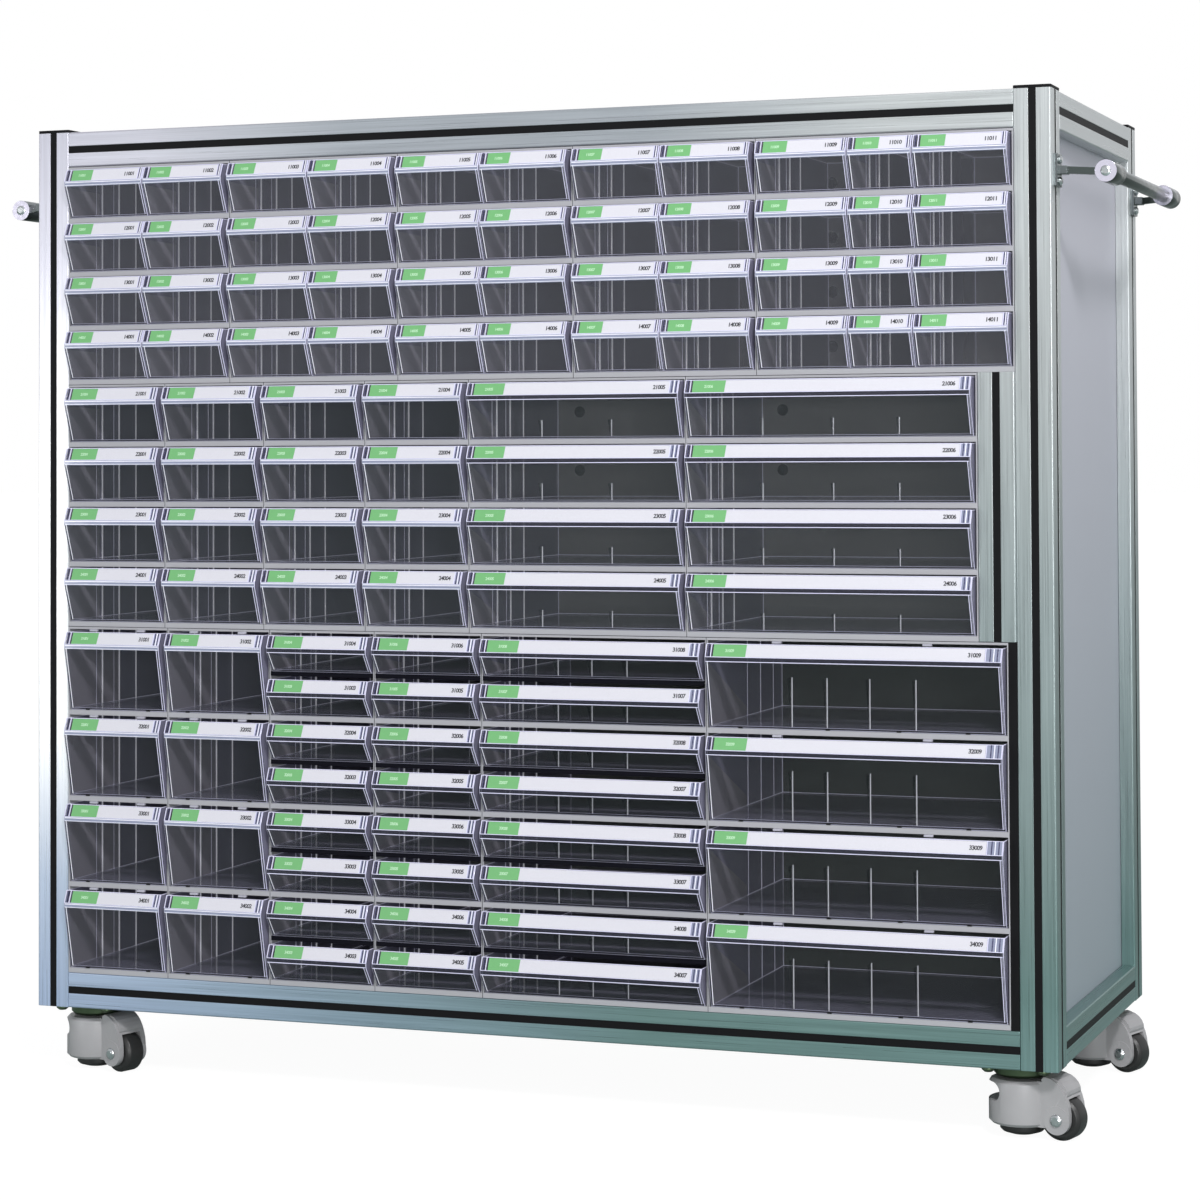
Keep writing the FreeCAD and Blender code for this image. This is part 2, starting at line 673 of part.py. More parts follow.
node("handle_brackets", [
    copy(bracket, f"bracket_{name}", HANDLE_CENTRE, axis, turn)
    for name, (axis, turn) in CORNERS.items()])
node("handle_sockets", [
    copy(socket, f"socket_{name}", HANDLE_CENTRE, axis, turn)
    for name, (axis, turn) in CORNERS.items()])
node("handle_tubes", [
    copy(tube, f"tube_{name}", HANDLE_CENTRE, Z_AXIS, turn)
    for name, turn in (("right", 0), ("left", 180))])
fasteners = []
for side, sign, turn in (("right", "", 90), ("left", "-", -90)):
    for end, way, lean in (("front", "-", 90), ("back", "", -90)):
        for level, height in (("low", "-" + SCREW_HEIGHT), ("top", SCREW_HEIGHT)):
            fasteners.append(copy(
                bracket_screw, f"bracket_screw_{side}_{end}_{level}",
                (sign + FACE, f"middle_depth + {way}{POST_SHIFT}", "handle_axis_height + " + height),
                Y_AXIS, turn))
        fasteners.append(copy(
            end_bolt, f"end_bolt_{side}_{end}",
            (sign + "handle_axis_side", f"middle_depth + {way}handle_half_length",
             "handle_axis_height"), X_AXIS, lean))
node("handle_screws", fasteners)

# Casters, each made about its own swivel axis with the wheel towards X
HALF_SPACING = "(caster_bolt_spacing / 2)"
HOLES = {"near_left": ("-", "-"), "near_right": ("", "-"), "far_left": ("-", ""), "far_right": ("", "")}
race = new_body("race")
turned(race, "Revolution", sketch(race, "XZ", "race_half", [[
    ("0", "race_base"), ("(race_radius - race_edge)", "race_base"),
    ("race_radius", "(race_base + race_edge)"), ("race_radius", "plate_base"), ("0", "plate_base")]]))
caster_plate = cut("caster_plate", fuse("caster_plate_and_race", [
    box("caster_plate_sheet", ("caster_plate_size", "caster_plate_size", "caster_plate_thickness"),
        ("-caster_plate_size / 2", "-caster_plate_size / 2", "plate_base")),
    race]),
    fuse("caster_plate_holes", [
        cylinder(f"plate_hole_{name}", "caster_bolt_radius", "caster_plate_thickness + 2 * cut_overrun",
                 (x + HALF_SPACING, y + HALF_SPACING, "plate_base - cut_overrun"))
        for name, (x, y) in HOLES.items()]
    + [cylinder("neck_bore", "neck_radius + swivel_fit", "race_height + cut_overrun",
                ("0", "0", "race_base - cut_overrun"))]))
caster_bolt = screw(
    "caster_bolt", "caster_bolt_radius", "caster_bolt_grip", "caster_bolt_head_radius",
    "caster_bolt_head_height")

CHEEK_SHARES = [
    (1, 0.35), (1, 0.46), (0.985, 0.57), (0.95, 0.68), (0.9, 0.78), (0.83, 0.87), (0.75, 0.94),
    (0.66, 0.985), (0.57, 1), (0.5, 0.97)]
HOOD_SHARES = [
    (0.5, 0.99), (0.68, 0.99), (0.77, 0.97), (0.85, 0.925), (0.91, 0.865), (0.945, 0.8), (0.95, 0.745),
    (0.93, 0.7), (0.88, 0.685), (0.5, 0.6)]
CHEEK_END = "(axle_trail + boss_radius)"

fork = new_body("fork")
turned(fork, "Revolution", sketch(fork, "XZ", "drum_half", [[
    ("0", "drum_base"), ("(drum_radius - drum_edge)", "drum_base"),
    ("drum_radius", "(drum_base + drum_edge)"), ("drum_radius", "(drum_top - drum_edge)"),
    ("(drum_radius - drum_edge)", "drum_top"), ("neck_radius", "drum_top"),
    ("neck_radius", "neck_top"), ("0", "neck_top")]]))
through(fork, "Pad", sketch(fork, "XZ", "cheek", [
    [("0", "drum_base"), ("axle_trail", "drum_base")]
    + [(f"({CHEEK_END} * {x})", f"(hood_top * {z})") for x, z in CHEEK_SHARES]
    + [(f"({CHEEK_END} * {CHEEK_SHARES[-1][0]})", "drum_top"), ("0", "drum_top")]]),
    "2 * cheek_half")
through(fork, "Pad", sketch(fork, "XZ", "hood", [
    [(f"({CHEEK_END} * {x})", f"(hood_top * {z})") for x, z in HOOD_SHARES]]),
    "2 * (cheek_half - hood_inset)")
through(fork, "Pad", sketch(fork, "XZ", "boss", (), [("axle_trail", "wheel_radius", "boss_radius")]),
        "2 * (cheek_half + boss_rise)")
through(fork, "Pocket", sketch(fork, "XZ", "wheel_room", (), [
    ("axle_trail", "wheel_radius", "wheel_room_radius")]), "2 * wheel_room_half")
STEM_ROOM, RECESS = "(stem_radius + dial_fit)", "(foot_radius + foot_side_gap)"
DIAL_ROOM = "(dial_radius + dial_side_gap)"
turned(fork, "Groove", sketch(fork, "XZ", "foot_and_dial_room", [[
    ("0", "(drum_base - cut_overrun)"), (RECESS, "(drum_base - cut_overrun)"),
    (RECESS, "foot_recess_top"), (STEM_ROOM, "foot_recess_top"), (STEM_ROOM, "dial_room_base"),
    (DIAL_ROOM, "dial_room_base"), (DIAL_ROOM, "dial_room_top"), (STEM_ROOM, "dial_room_top"),
    (STEM_ROOM, "(stem_top + cut_overrun)"), ("0", "(stem_top + cut_overrun)")]]))
through(fork, "Pocket", sketch(fork, "XZ", "window", [rectangle(
    "-(drum_radius + cut_overrun)", "dial_room_base", "-window_end", "dial_room_top")]),
    "2 * (drum_radius + cut_overrun)")
through(fork, "Pocket", sketch(fork, "XZ", "brow", [rectangle(
    "-(drum_radius + cut_overrun)", "dial_room_base", "-brow_reach", "(drum_top + cut_overrun)")]),
    "2 * (drum_radius + cut_overrun)")
through(fork, "Pocket", sketch(fork, "XZ", "window_round", (), [
    ("-window_end", "(dial_room_base + window_radius)", "window_radius")]),
    "2 * (drum_radius + cut_overrun)")
through(fork, "Pocket", sketch(fork, "XZ", "axle_bore", (), [
    ("axle_trail", "wheel_radius", "axle_radius")]), "2 * (cheek_half + boss_rise + cut_overrun)")

wheel = new_body("wheel")
place(wheel, "axle_trail", "0", "wheel_radius")
tread, rim, half_wide = "(wheel_radius - wheel_edge)", "wheel_radius", "(wheel_width / 2)"
crown = "(wheel_width / 2 - wheel_edge)"
turned(wheel, "Revolution", sketch(wheel, "XY", "wheel_half", [[
    ("(axle_radius + axle_fit)", "-" + half_wide), (tread, "-" + half_wide), (rim, "-" + crown),
    (rim, crown), (tread, half_wide), ("(axle_radius + axle_fit)", half_wide)]]))

axle = new_body("axle")
place(axle, "axle_trail", "0", "wheel_radius")
seat = "(cheek_half + boss_rise)"
end_up = f"(axle_head_height * {HEAD_EDGE_SHARE})"
end_crown = f"(axle_head_radius * {HEAD_CROWN_SHARE})"
head = [("axle_head_radius", seat), ("axle_head_radius", f"({seat} + {end_up})"),
        (end_crown, f"({seat} + axle_head_height)"), ("0", f"({seat} + axle_head_height)")]
turned(axle, "Revolution", sketch(axle, "XY", "axle_half", [
    [(x, minus(y)) for x, y in reversed(head)]
    + [("axle_radius", "-" + seat), ("axle_radius", seat)] + head]))

foot = new_body("foot")
turned(foot, "Revolution", sketch(foot, "XZ", "foot_half", [[
    ("0", "foot_lift"), ("(foot_radius - 2 * foot_edge)", "foot_lift"),
    ("(foot_radius - foot_edge / 2)", "(foot_lift + foot_edge / 2)"),
    ("foot_radius", "(foot_lift + foot_edge)"), ("foot_radius", "(foot_lift + foot_thickness)"),
    ("stem_radius", "(foot_lift + foot_thickness)"), ("stem_radius", "stem_top"), ("0", "stem_top")]]))
through(foot, "Pocket", sketch(foot, "XZ", "foot_flat", [rectangle(
    "foot_flat_side", "0", "drum_radius", "stem_top")]), "2 * drum_radius")

dial = new_body("dial")
turned(dial, "Revolution", sketch(dial, "XZ", "dial_half", [rectangle(
    STEM_ROOM, "dial_base", "dial_radius", "(dial_base + dial_thickness)")]))

SIDES = {"left": "-", "right": ""}
ENDS = {"front": "-", "back": ""}
plates, bolts = [], []
for end, way in ENDS.items():
    for side, sign in SIDES.items():
        name = f"{end}_{side}"
        at = (sign + "caster_side", f"middle_depth + {way}(frame_depth / 2 - caster_inset)", "0")
        plates.append(copy(caster_plate, f"{name}_caster_plate", at))
        for hole, (x, y) in HOLES.items():
            inner = x != sign and y != way
            if not inner:
                bolts.append(copy(
                    caster_bolt, f"{name}_bolt_{hole}",
                    (f"{at[0]} + {x}{HALF_SPACING}", f"{at[1]} + {y}{HALF_SPACING}", "plate_base"),
                    X_AXIS, 180))
        for label, master in (("caster_body", fork), ("wheel", wheel), ("axle", axle),
                              ("levelling_foot", foot), ("dial", dial)):
            node(f"{name}_{label}", [
                copy(master, f"{name}_{label}_turned", at, Z_AXIS, TURNS[name])])
node("caster_plates", plates)
node("caster_bolts", bolts)

# Check every object, then write one file for each node
doc.recompute()
for made in doc.Objects:
    if "Invalid" in made.State or "Error" in made.State:
        raise RuntimeError(f"{made.Label} did not build: {made.State}")
os.makedirs("parts", exist_ok=True)
for label, made in nodes.items():
    if made.Shape.isNull() or not made.Shape.isValid():
        raise RuntimeError(f"{label} has no valid shape")
    made.Shape.exportStep(f"parts/{label}.step")
print(f"{len(nodes)} nodes written")
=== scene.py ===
"""Dresses the parts bin cabinet and sets it in a plain studio.

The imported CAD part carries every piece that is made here. Lengths are in
metres. X runs along the front, Y from the front to the back, Z up from the
floor, and the origin is on the floor under the middle of the cabinet.
"""

import logging
import math
from dataclasses import dataclass, field
from enum import Enum
from typing import Any, Iterable, Iterator, Sequence

import bmesh
import bpy
from mathutils import Matrix, Vector


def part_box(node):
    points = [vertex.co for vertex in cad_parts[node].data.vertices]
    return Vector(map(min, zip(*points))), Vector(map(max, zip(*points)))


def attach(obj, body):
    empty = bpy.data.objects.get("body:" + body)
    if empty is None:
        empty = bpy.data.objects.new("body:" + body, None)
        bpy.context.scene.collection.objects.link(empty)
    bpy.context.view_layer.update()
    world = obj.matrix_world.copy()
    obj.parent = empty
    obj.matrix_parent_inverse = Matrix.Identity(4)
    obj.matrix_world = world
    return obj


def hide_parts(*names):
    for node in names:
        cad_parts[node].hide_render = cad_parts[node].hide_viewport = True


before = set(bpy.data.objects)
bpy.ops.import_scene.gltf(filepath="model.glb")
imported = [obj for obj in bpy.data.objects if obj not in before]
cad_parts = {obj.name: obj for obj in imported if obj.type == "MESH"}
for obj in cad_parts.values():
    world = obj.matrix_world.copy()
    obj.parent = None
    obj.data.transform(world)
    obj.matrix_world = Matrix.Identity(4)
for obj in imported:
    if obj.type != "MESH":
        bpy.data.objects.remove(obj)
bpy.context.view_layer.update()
CABINET = "cabinet"
MM = 0.001

log = logging.getLogger("parts_bin_cabinet")

Colour = tuple[float, float, float]
Point = tuple[float, float, float]
Flat = tuple[float, float]
Socket = bpy.types.NodeSocket


def srgb(red: int, green: int, blue: int) -> Colour:
    """Turn a screen colour into the linear colour that a shader takes.

    Args:
        red: Red from 0 to 255.
        green: Green from 0 to 255.
        blue: Blue from 0 to 255.

    Returns:
        The linear colour.
    """
    shares = (c / 255 for c in (red, green, blue))
    return tuple(s / 12.92 if s <= 0.04045 else ((s + 0.055) / 1.055) ** 2.4 for s in shares)


# Surfaces and finishes


class Surface:
    """A Principled material while its nodes are being laid out."""

    def __init__(self, name: str) -> None:
        """Start a material with a bare shader.

        Args:
            name: The material's name.
        """
        self.material = bpy.data.materials.new(name)
        self.material.use_nodes = True
        self.tree = self.material.node_tree
        self.shader = self.tree.nodes["Principled BSDF"]

    def fix(self, values: dict[str, Any]) -> None:
        """Set or feed the shader's own sockets.

        Args:
            values: Socket name to a constant or to another node's output.
        """
        for word, value in values.items():
            self.feed(self.shader.inputs[word], value)

    def feed(self, socket: Socket, value: Any) -> None:
        """Give one socket a constant or a link.

        Args:
            socket: The socket to feed.
            value: A number, a colour or another node's output.
        """
        if isinstance(value, bpy.types.NodeSocket):
            self.tree.links.new(value, socket)
        elif socket.type == "RGBA" and len(value) == 3:
            socket.default_value = (*value, 1.0)
        else:
            socket.default_value = value

    def node(self, kind: str, inputs: dict[Any, Any], **settings: Any) -> bpy.types.Node:
        """Add one node.

        Args:
            kind: The node's type without its usual first word.
            inputs: Socket name or number to what feeds it.
            **settings: The node's own settings.

        Returns:
            The new node.
        """
        made = self.tree.nodes.new("ShaderNode" + kind)
        for word, value in settings.items():
            setattr(made, word, value)
        for word, value in inputs.items():
            self.feed(made.inputs[word], value)
        return made

    def place(self, stretch: Point = (1, 1, 1)) -> Socket:
        """Give the place on the cabinet in metres, stretched along the axes.

        Args:
            stretch: How much each axis is multiplied.

        Returns:
            The stretched place.
        """
        here = self.node("TexCoord", {}).outputs["Object"]
        return self.node("Mapping", {"Vector": here, "Scale": stretch}).outputs[0]

    def noise(self, scale: float, stretch: Point = (1, 1, 1), detail: float = 3) -> Socket:
        """Give a cloudy value from 0 to 1.

        Args:
            scale: Clouds in a metre.
            stretch: How much each axis is multiplied first.
            detail: How many finer clouds are laid on top.

        Returns:
            The cloudy value.
        """
        where = self.place(stretch)
        return self.node("TexNoise", {"Vector": where, "Scale": scale, "Detail": detail}).outputs[0]

    def spread(self, value: Socket, given: Flat, wanted: Flat) -> Socket:
        """Stretch a value from one range to another.

        Args:
            value: The value to stretch.
            given: The range that it has.
            wanted: The range that it gets.

        Returns:
            The stretched value.
        """
        ends = {"Value": value, 1: given[0], 2: given[1], 3: wanted[0], 4: wanted[1]}
        return self.node("MapRange", ends).outputs[0]

    def work(self, kind: str, *values: Any) -> Socket:
        """Do one sum with values.

        Args:
            kind: The sum, such as MULTIPLY.
            *values: What goes in.

        Returns:
            The result.
        """
        return self.node("Math", dict(enumerate(values)), operation=kind, use_clamp=False).outputs[0]

    def mix(self, share: Any, first: Any, second: Any, blend: str = "MIX") -> Socket:
        """Mix two colours.

        Args:
            share: How much of the second colour goes in.
            first: The first colour.
            second: The second colour.
            blend: The way of mixing.

        Returns:
            The mixed colour.
        """
        inputs = {0: share, 6: first, 7: second}
        return self.node("Mix", inputs, data_type="RGBA", blend_type=blend).outputs[2]

    def ramp(self, share: Socket, stops: Sequence[tuple[float, Colour]]) -> Socket:
        """Give a colour along a row of colours.

        Args:
            share: The place along the row.
            stops: Each colour with its place.

        Returns:
            The colour.
        """
        made = self.node("ValToRGB", {0: share})
        elements = made.color_ramp.elements
        while len(elements) < len(stops):
            elements.new(1)
        for element, (at, colour) in zip(elements, stops):
            element.position = at
            element.color = (*colour, 1)
        return made.outputs[0]

    def bump(self, height: Socket, rise: float) -> None:
        """Raise the surface by a value.

        Args:
            height: The value, from 0 to 1.
            rise: The height of the highest place in metres.
        """
        made = self.node("Bump", {"Height": height, "Distance": rise, "Strength": 1.0})
        self.fix({"Normal": made.outputs[0]})

    def axes(self) -> tuple[Socket, Socket, Socket]:
        """Give the place on the cabinet in metres as three values."""
        made = self.node("SeparateXYZ", {0: self.place()})
        return made.outputs[0], made.outputs[1], made.outputs[2]


@dataclass(frozen=True)
class Finish:
    """A finish that becomes a material when the first piece asks for it."""

    name: str

    @property
    def material(self) -> bpy.types.Material:
        """Give the finish as a material."""
        found = bpy.data.materials.get(self.name)
        if found is None:
            surface = Surface(self.name)
            self.dress(surface)
            found = surface.material
        return found

    def dress(self, surface: Surface) -> None:
        """Lay out the finish's nodes.

        Args:
            surface: The material to dress.
        """
        raise NotImplementedError


class Grain(Enum):
    """The direction in which a profile was drawn, as stretches of the axes."""

    ALONG = (0.01, 1, 1)
    DEEP = (1, 0.01, 1)
    UPRIGHT = (1, 1, 0.01)


@dataclass(frozen=True)
class Anodised(Finish):
    """Satin anodised aluminium with fine lines along the profile and a tint of painted light and painted
    reflection.
    """

    grain: Grain = Grain.ALONG
    # Painted light on the left side, top to bottom: lilac, then a painted highlight band at middle height,
    # then bluer below.
    left: tuple[tuple[float, Colour], ...] = (
        (0.0, srgb(202, 201, 213)),
        (0.15, srgb(218, 217, 228)),
        (0.35, srgb(250, 250, 252)),
        (0.7, srgb(250, 250, 252)),
        (0.86, srgb(192, 204, 224)),
        (1.0, srgb(176, 192, 220)),
    )
    # Painted light on the right side: darker and greener towards the bottom, painted shade with a painted
    # reflection of the floor.
    right: tuple[tuple[float, Colour], ...] = (
        (0.0, srgb(202, 206, 207)),
        (0.3, srgb(184, 189, 190)),
        (0.55, srgb(160, 171, 172)),
        (0.8, srgb(130, 148, 147)),
        (0.93, srgb(110, 138, 135)),
        (1.0, srgb(118, 148, 146)),
    )
    # Painted shade: a darker tint on the middle of the top rail.
    painted_shade_top_middle: Colour = srgb(166, 172, 179)
    roughness: Flat = (0.26, 0.42)

    def dress(self, surface: Surface) -> None:
        """Lay out the tint of painted light and reflection and the drawn lines.

        Args:
            surface: The material to dress.
        """
        # The tint below is painted light, blended from the left ramp to the right ramp by place; the lines
        # are the grain.
        x, _, z = surface.axes()
        side = surface.spread(x, (-0.6, 0.15), (0.0, 1.0))
        down = surface.spread(z, (1.08, 0.08), (0.0, 1.0))
        shade = surface.mix(side, surface.ramp(down, self.left), surface.ramp(down, self.right))
        middle = surface.work("MULTIPLY", surface.spread(x, (-0.45, -0.2), (0, 1)),
                              surface.spread(x, (0.42, 0.15), (0, 0.9)))
        high = surface.work("MULTIPLY", middle, surface.spread(z, (1.0, 1.03), (0, 1)))
        shade = surface.mix(high, shade, self.painted_shade_top_middle)
        lines = surface.noise(700, self.grain.value, 2)
        broad = surface.noise(170, self.grain.value, 2)
        tone = surface.work("MULTIPLY", surface.spread(lines, (0.3, 0.7), (0.9, 1.05)),
                            surface.spread(broad, (0.3, 0.7), (0.93, 1.04)))
        grey = surface.node("CombineColor", {0: tone, 1: tone, 2: tone}).outputs[0]
        surface.fix({
            "Base Color": surface.mix(1.0, shade, grey, "MULTIPLY"),
            "Roughness": surface.spread(lines, (0.3, 0.7), self.roughness),
            "Metallic": 0.6,
        })
        surface.bump(lines, 0.02 * MM)


@dataclass(frozen=True)
class Moulded(Finish):
    """Plain moulded plastic or rubber with a fine grain."""

    colour: Colour = (0.5, 0.5, 0.5)
    roughness: Flat = (0.35, 0.5)
    grain: float = 900
    rise: float = 0.02 * MM
    coat: float = 0.0
    gloss: float = 0.4
    # A glow above 0 is painted light: the part shines though it is no lamp.
    glow: float = 0.0

    def dress(self, surface: Surface) -> None:
        """Lay out a faint mottle and the grain.

        Args:
            surface: The material to dress.
        """
        cloud = surface.noise(14, detail=4)
        grain = surface.noise(self.grain)
        darker = tuple(c * 0.9 for c in self.colour)
        surface.fix({
            "Base Color": surface.mix(surface.spread(cloud, (0.35, 0.65), (0, 1)), darker, self.colour),
            "Roughness": surface.spread(grain, (0.3, 0.7), self.roughness),
            "Specular IOR Level": self.gloss,
            "Coat Weight": self.coat,
            "Coat Roughness": 0.15,
            "Emission Color": self.colour,
            "Emission Strength": self.glow,
        })
        surface.bump(grain, self.rise)


@dataclass(frozen=True)
class Plated(Finish):
    """Polished or zinc plated metal with faint polishing marks."""

    colour: Colour = (0.8, 0.8, 0.82)
    roughness: Flat = (0.06, 0.16)
    marks: float = 260

    def dress(self, surface: Surface) -> None:
        """Lay out the polishing marks.

        Args:
            surface: The material to dress.
        """
        marks = surface.noise(self.marks, (1, 0.3, 1))
        surface.fix({
            "Base Color": self.colour,
            "Metallic": 1.0,
            "Roughness": surface.spread(marks, (0.3, 0.7), self.roughness),
        })
        surface.bump(marks, 0.01 * MM)


@dataclass(frozen=True)
class Chrome(Finish):
    """Chrome with painted reflections: palest where it faces the front, pale on top and dark green-grey
    below.
    """

    front: Colour = srgb(226, 222, 238)
    above: Colour = srgb(158, 164, 166)
    side: Colour = srgb(84, 92, 90)
    below: Colour = srgb(34, 42, 34)

    def dress(self, surface: Surface) -> None:
        """Lay out the painted reflection tints by the way each face points.

        Args:
            surface: The material to dress.
        """
        # Painted reflection: the colour follows the way each face points, not what it mirrors.
        normal = surface.node("TexCoord", {}).outputs["Normal"]
        facing = surface.node("SeparateXYZ", {0: normal}).outputs
        lower = surface.mix(surface.spread(facing[2], (-0.75, -0.05), (0, 1)), self.below, self.side)
        upper = surface.mix(surface.spread(facing[2], (0.3, 0.6), (0, 1)), lower, self.above)
        surface.fix({
            "Base Color": surface.mix(surface.spread(facing[1], (-0.9, -0.97), (0, 1)), upper, self.front),
            "Metallic": 0.75,
            "Roughness": surface.spread(surface.noise(260, (1, 0.3, 1)), (0.3, 0.7), (0.14, 0.24)),
        })


@dataclass(frozen=True)
class Housing(Finish):
    """Light grey moulded fronts whose insides carry painted light and shade: lighter than the front, darker
    below about half the height.
    """

    front: Colour = srgb(162, 162, 167)
    # Painted light and shade: the inside colour is lighter than the front and stands in for light that
    # reaches in; the deep colour is painted shade.
    inside: Colour = srgb(190, 190, 192)
    deep: Colour = srgb(84, 88, 88)
    face: float = 0.0
    fade: float = 4 * MM

    def dress(self, surface: Surface) -> None:
        """Lay out the light grey front, the inside with its painted light and shade, and the grain.

        Args:
            surface: The material to dress.
        """
        x, y, z = surface.axes()
        inward = surface.spread(y, (self.face + 0.6 * MM, self.face + self.fade), (0, 1))
        # Painted shade: the inside darkens below about half the height, most towards the right.
        low = surface.spread(z, (0.53, 0.49), (0, 1))
        painted_shade_share = surface.work("MULTIPLY", low, surface.spread(x, (-0.5, 0.2), (0.2, 1)))
        inside = surface.mix(painted_shade_share, self.inside, self.deep)
        grain = surface.noise(700)
        surface.fix({
            "Base Color": surface.mix(inward, self.front, inside),
            "Roughness": surface.spread(grain, (0.3, 0.7), (0.42, 0.56)),
        })
        surface.bump(grain, 0.03 * MM)


@dataclass(frozen=True)
class Panel(Finish):
    """Pale lilac-grey sheet with a smooth sheen, and painted light: lighter at the top, darker and greener
    towards the bottom.
    """

    # Painted light and shade: the upper tint is lighter, the lower one darker and greener.
    upper: Colour = srgb(196, 195, 206)
    lower: Colour = srgb(150, 160, 168)

    def dress(self, surface: Surface) -> None:
        """Lay out the painted light from top to bottom and a faint ripple.

        Args:
            surface: The material to dress.
        """
        _, _, z = surface.axes()
        ripple = surface.noise(5, (1, 1, 0.3), 2)
        down = surface.spread(z, (0.95, 0.15), (0, 1))
        surface.fix({
            "Base Color": surface.mix(down, self.upper, self.lower),
            "Roughness": surface.spread(ripple, (0.3, 0.7), (0.5, 0.58)),
        })
        surface.bump(surface.noise(500), 0.008 * MM)


@dataclass(frozen=True)
class Clear(Finish):
    """Clear smoky plastic that shows more of itself when seen aslant."""

    colour: Colour = srgb(96, 94, 112)
    solid: Flat = (0.1, 0.5)
    gloss: float = 0.6

    def dress(self, surface: Surface) -> None:
        """Lay out the see-through wall.

        Args:
            surface: The material to dress.
        """
        aslant = surface.node("LayerWeight", {"Blend": 0.35}).outputs["Facing"]
        flow = surface.noise(60, (1, 1, 0.3))
        surface.fix({
            "Base Color": self.colour,
            "Roughness": surface.spread(flow, (0.3, 0.7), (0.04, 0.12)),
            "Alpha": surface.spread(aslant, (0, 1), self.solid),
            "Specular IOR Level": self.gloss,
        })


@dataclass(frozen=True)
class Card(Finish):
    """Printed card with a faint fibre."""

    colour: Colour = (0.8, 0.8, 0.82)

    def dress(self, surface: Surface) -> None:
        """Lay out the fibre.

        Args:
            surface: The material to dress.
        """
        fibre = surface.noise(1500, (1, 1, 0.4))
        paler = tuple(c * 0.94 for c in self.colour)
        surface.fix({
            "Base Color": surface.mix(surface.spread(fibre, (0.35, 0.65), (0, 1)), paler, self.colour),
            "Roughness": 0.5,
            "Coat Weight": 0.35,
            "Coat Roughness": 0.08,
        })


@dataclass(frozen=True)
class Paper(Finish):
    """Studio floor, plain white in the picture and dim in what mirrors it."""

    mirrored: Colour = (0.3, 0.37, 0.35)
    shadow_share: float = 0.1

    def dress(self, surface: Surface) -> None:
        """Lay out the white floor and its dim reflection.

        Args:
            surface: The material to dress.
        """
        cloud = surface.noise(3)
        surface.fix({
            "Base Color": self.mirrored,
            "Roughness": surface.spread(cloud, (0.3, 0.7), (0.7, 0.8)),
        })
        glow = surface.node("Emission", {"Color": (1, 1, 1), "Strength": 1.06}).outputs[0]
        paper = surface.node("BsdfDiffuse", {"Color": (0.95, 0.95, 0.95)}).outputs[0]
        seen = surface.node("MixShader", {0: self.shadow_share, 1: glow, 2: paper}).outputs[0]
        direct = surface.node("LightPath", {}).outputs["Is Camera Ray"]
        mixed = surface.node("MixShader", {0: direct, 1: surface.shader.outputs[0], 2: seen}).outputs[0]
        surface.feed(surface.tree.nodes["Material Output"].inputs["Surface"], mixed)


# Where the front of the housings is
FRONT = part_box("top_housing")[0].y

POST_METAL = Anodised("upright_anodised_aluminium", Grain.UPRIGHT)
RAIL_METAL = Anodised("lengthwise_anodised_aluminium", Grain.ALONG)
END_METAL = Anodised("crosswise_anodised_aluminium", Grain.DEEP)
BLACK = Moulded("black_trim_plastic", (0.004, 0.004, 0.005), (0.45, 0.6), gloss=0.15)
SHADOW = Moulded("dark_gap", (0.006, 0.006, 0.01), (0.6, 0.8), gloss=0.05)
PALE = Panel("pale_panel")
GREY = Housing("light_grey_housing", face=FRONT)
TAB_GREY = Moulded("light_grey_moulding", srgb(176, 176, 188))
WALL = Clear("clear_smoky_plastic", srgb(112, 112, 120), (0.17, 0.45))
# Painted shade: the middle and low tier walls are darker copies of the top tier's clear plastic, and the dark
# ledge plastic is a darker copy of the ledge plastic for the deep kinds.
LOW_TIER_SHADED_WALL = Clear("clear_plastic_with_painted_low_tier_shade", srgb(56, 60, 62), (0.12, 0.4))
MIDDLE_TIER_SHADED_WALL = Clear("clear_plastic_with_painted_middle_tier_shade", srgb(78, 82, 86), (0.16, 0.42))
# Painted light: the lighter patch on the inside of the left side wall.
SHEEN = Clear("light_on_side_wall", srgb(178, 174, 188), (0.6, 0.62))
SIDE = Clear("smoky_plastic_seen_deep", srgb(150, 148, 172), (0.42, 0.85))
LEDGE = Clear("smoky_plastic_under_label", srgb(172, 178, 204), (0.55, 0.85))
SHADED_LEDGE = Clear("clear_plastic_with_painted_shade_under_label", srgb(52, 52, 66), (0.62, 0.85))
# Painted highlights: bright lines that glow though they are no lamp, on the edges, ribs, ledges and label
# channels of the clear drawers.
EDGE = Moulded("painted_highlight_on_clear_plastic_edges", srgb(206, 205, 228), (0.12, 0.25), 300, gloss=0.8, glow=0.16)
RIB_HIGHLIGHT = Moulded("painted_highlight_lines_on_clear_plastic", srgb(226, 226, 236), (0.12, 0.25), 300, gloss=0.8, glow=0.2)
# Painted dark lines: the darkening that clear plastic shows near its edges by refraction.
PAINTED_DARK_LINE = Moulded("painted_dark_line_in_clear_plastic", srgb(58, 57, 92), (0.2, 0.35), 300, gloss=0.5)
WHITE_CARD = Card("white_label_card", srgb(207, 206, 214))
GREEN_CARD = Card("green_label_card", srgb(108, 172, 110))
INK = Card("dark_label_ink", srgb(34, 35, 40))
PALE_INK = Card("pale_label_ink", srgb(176, 216, 178))
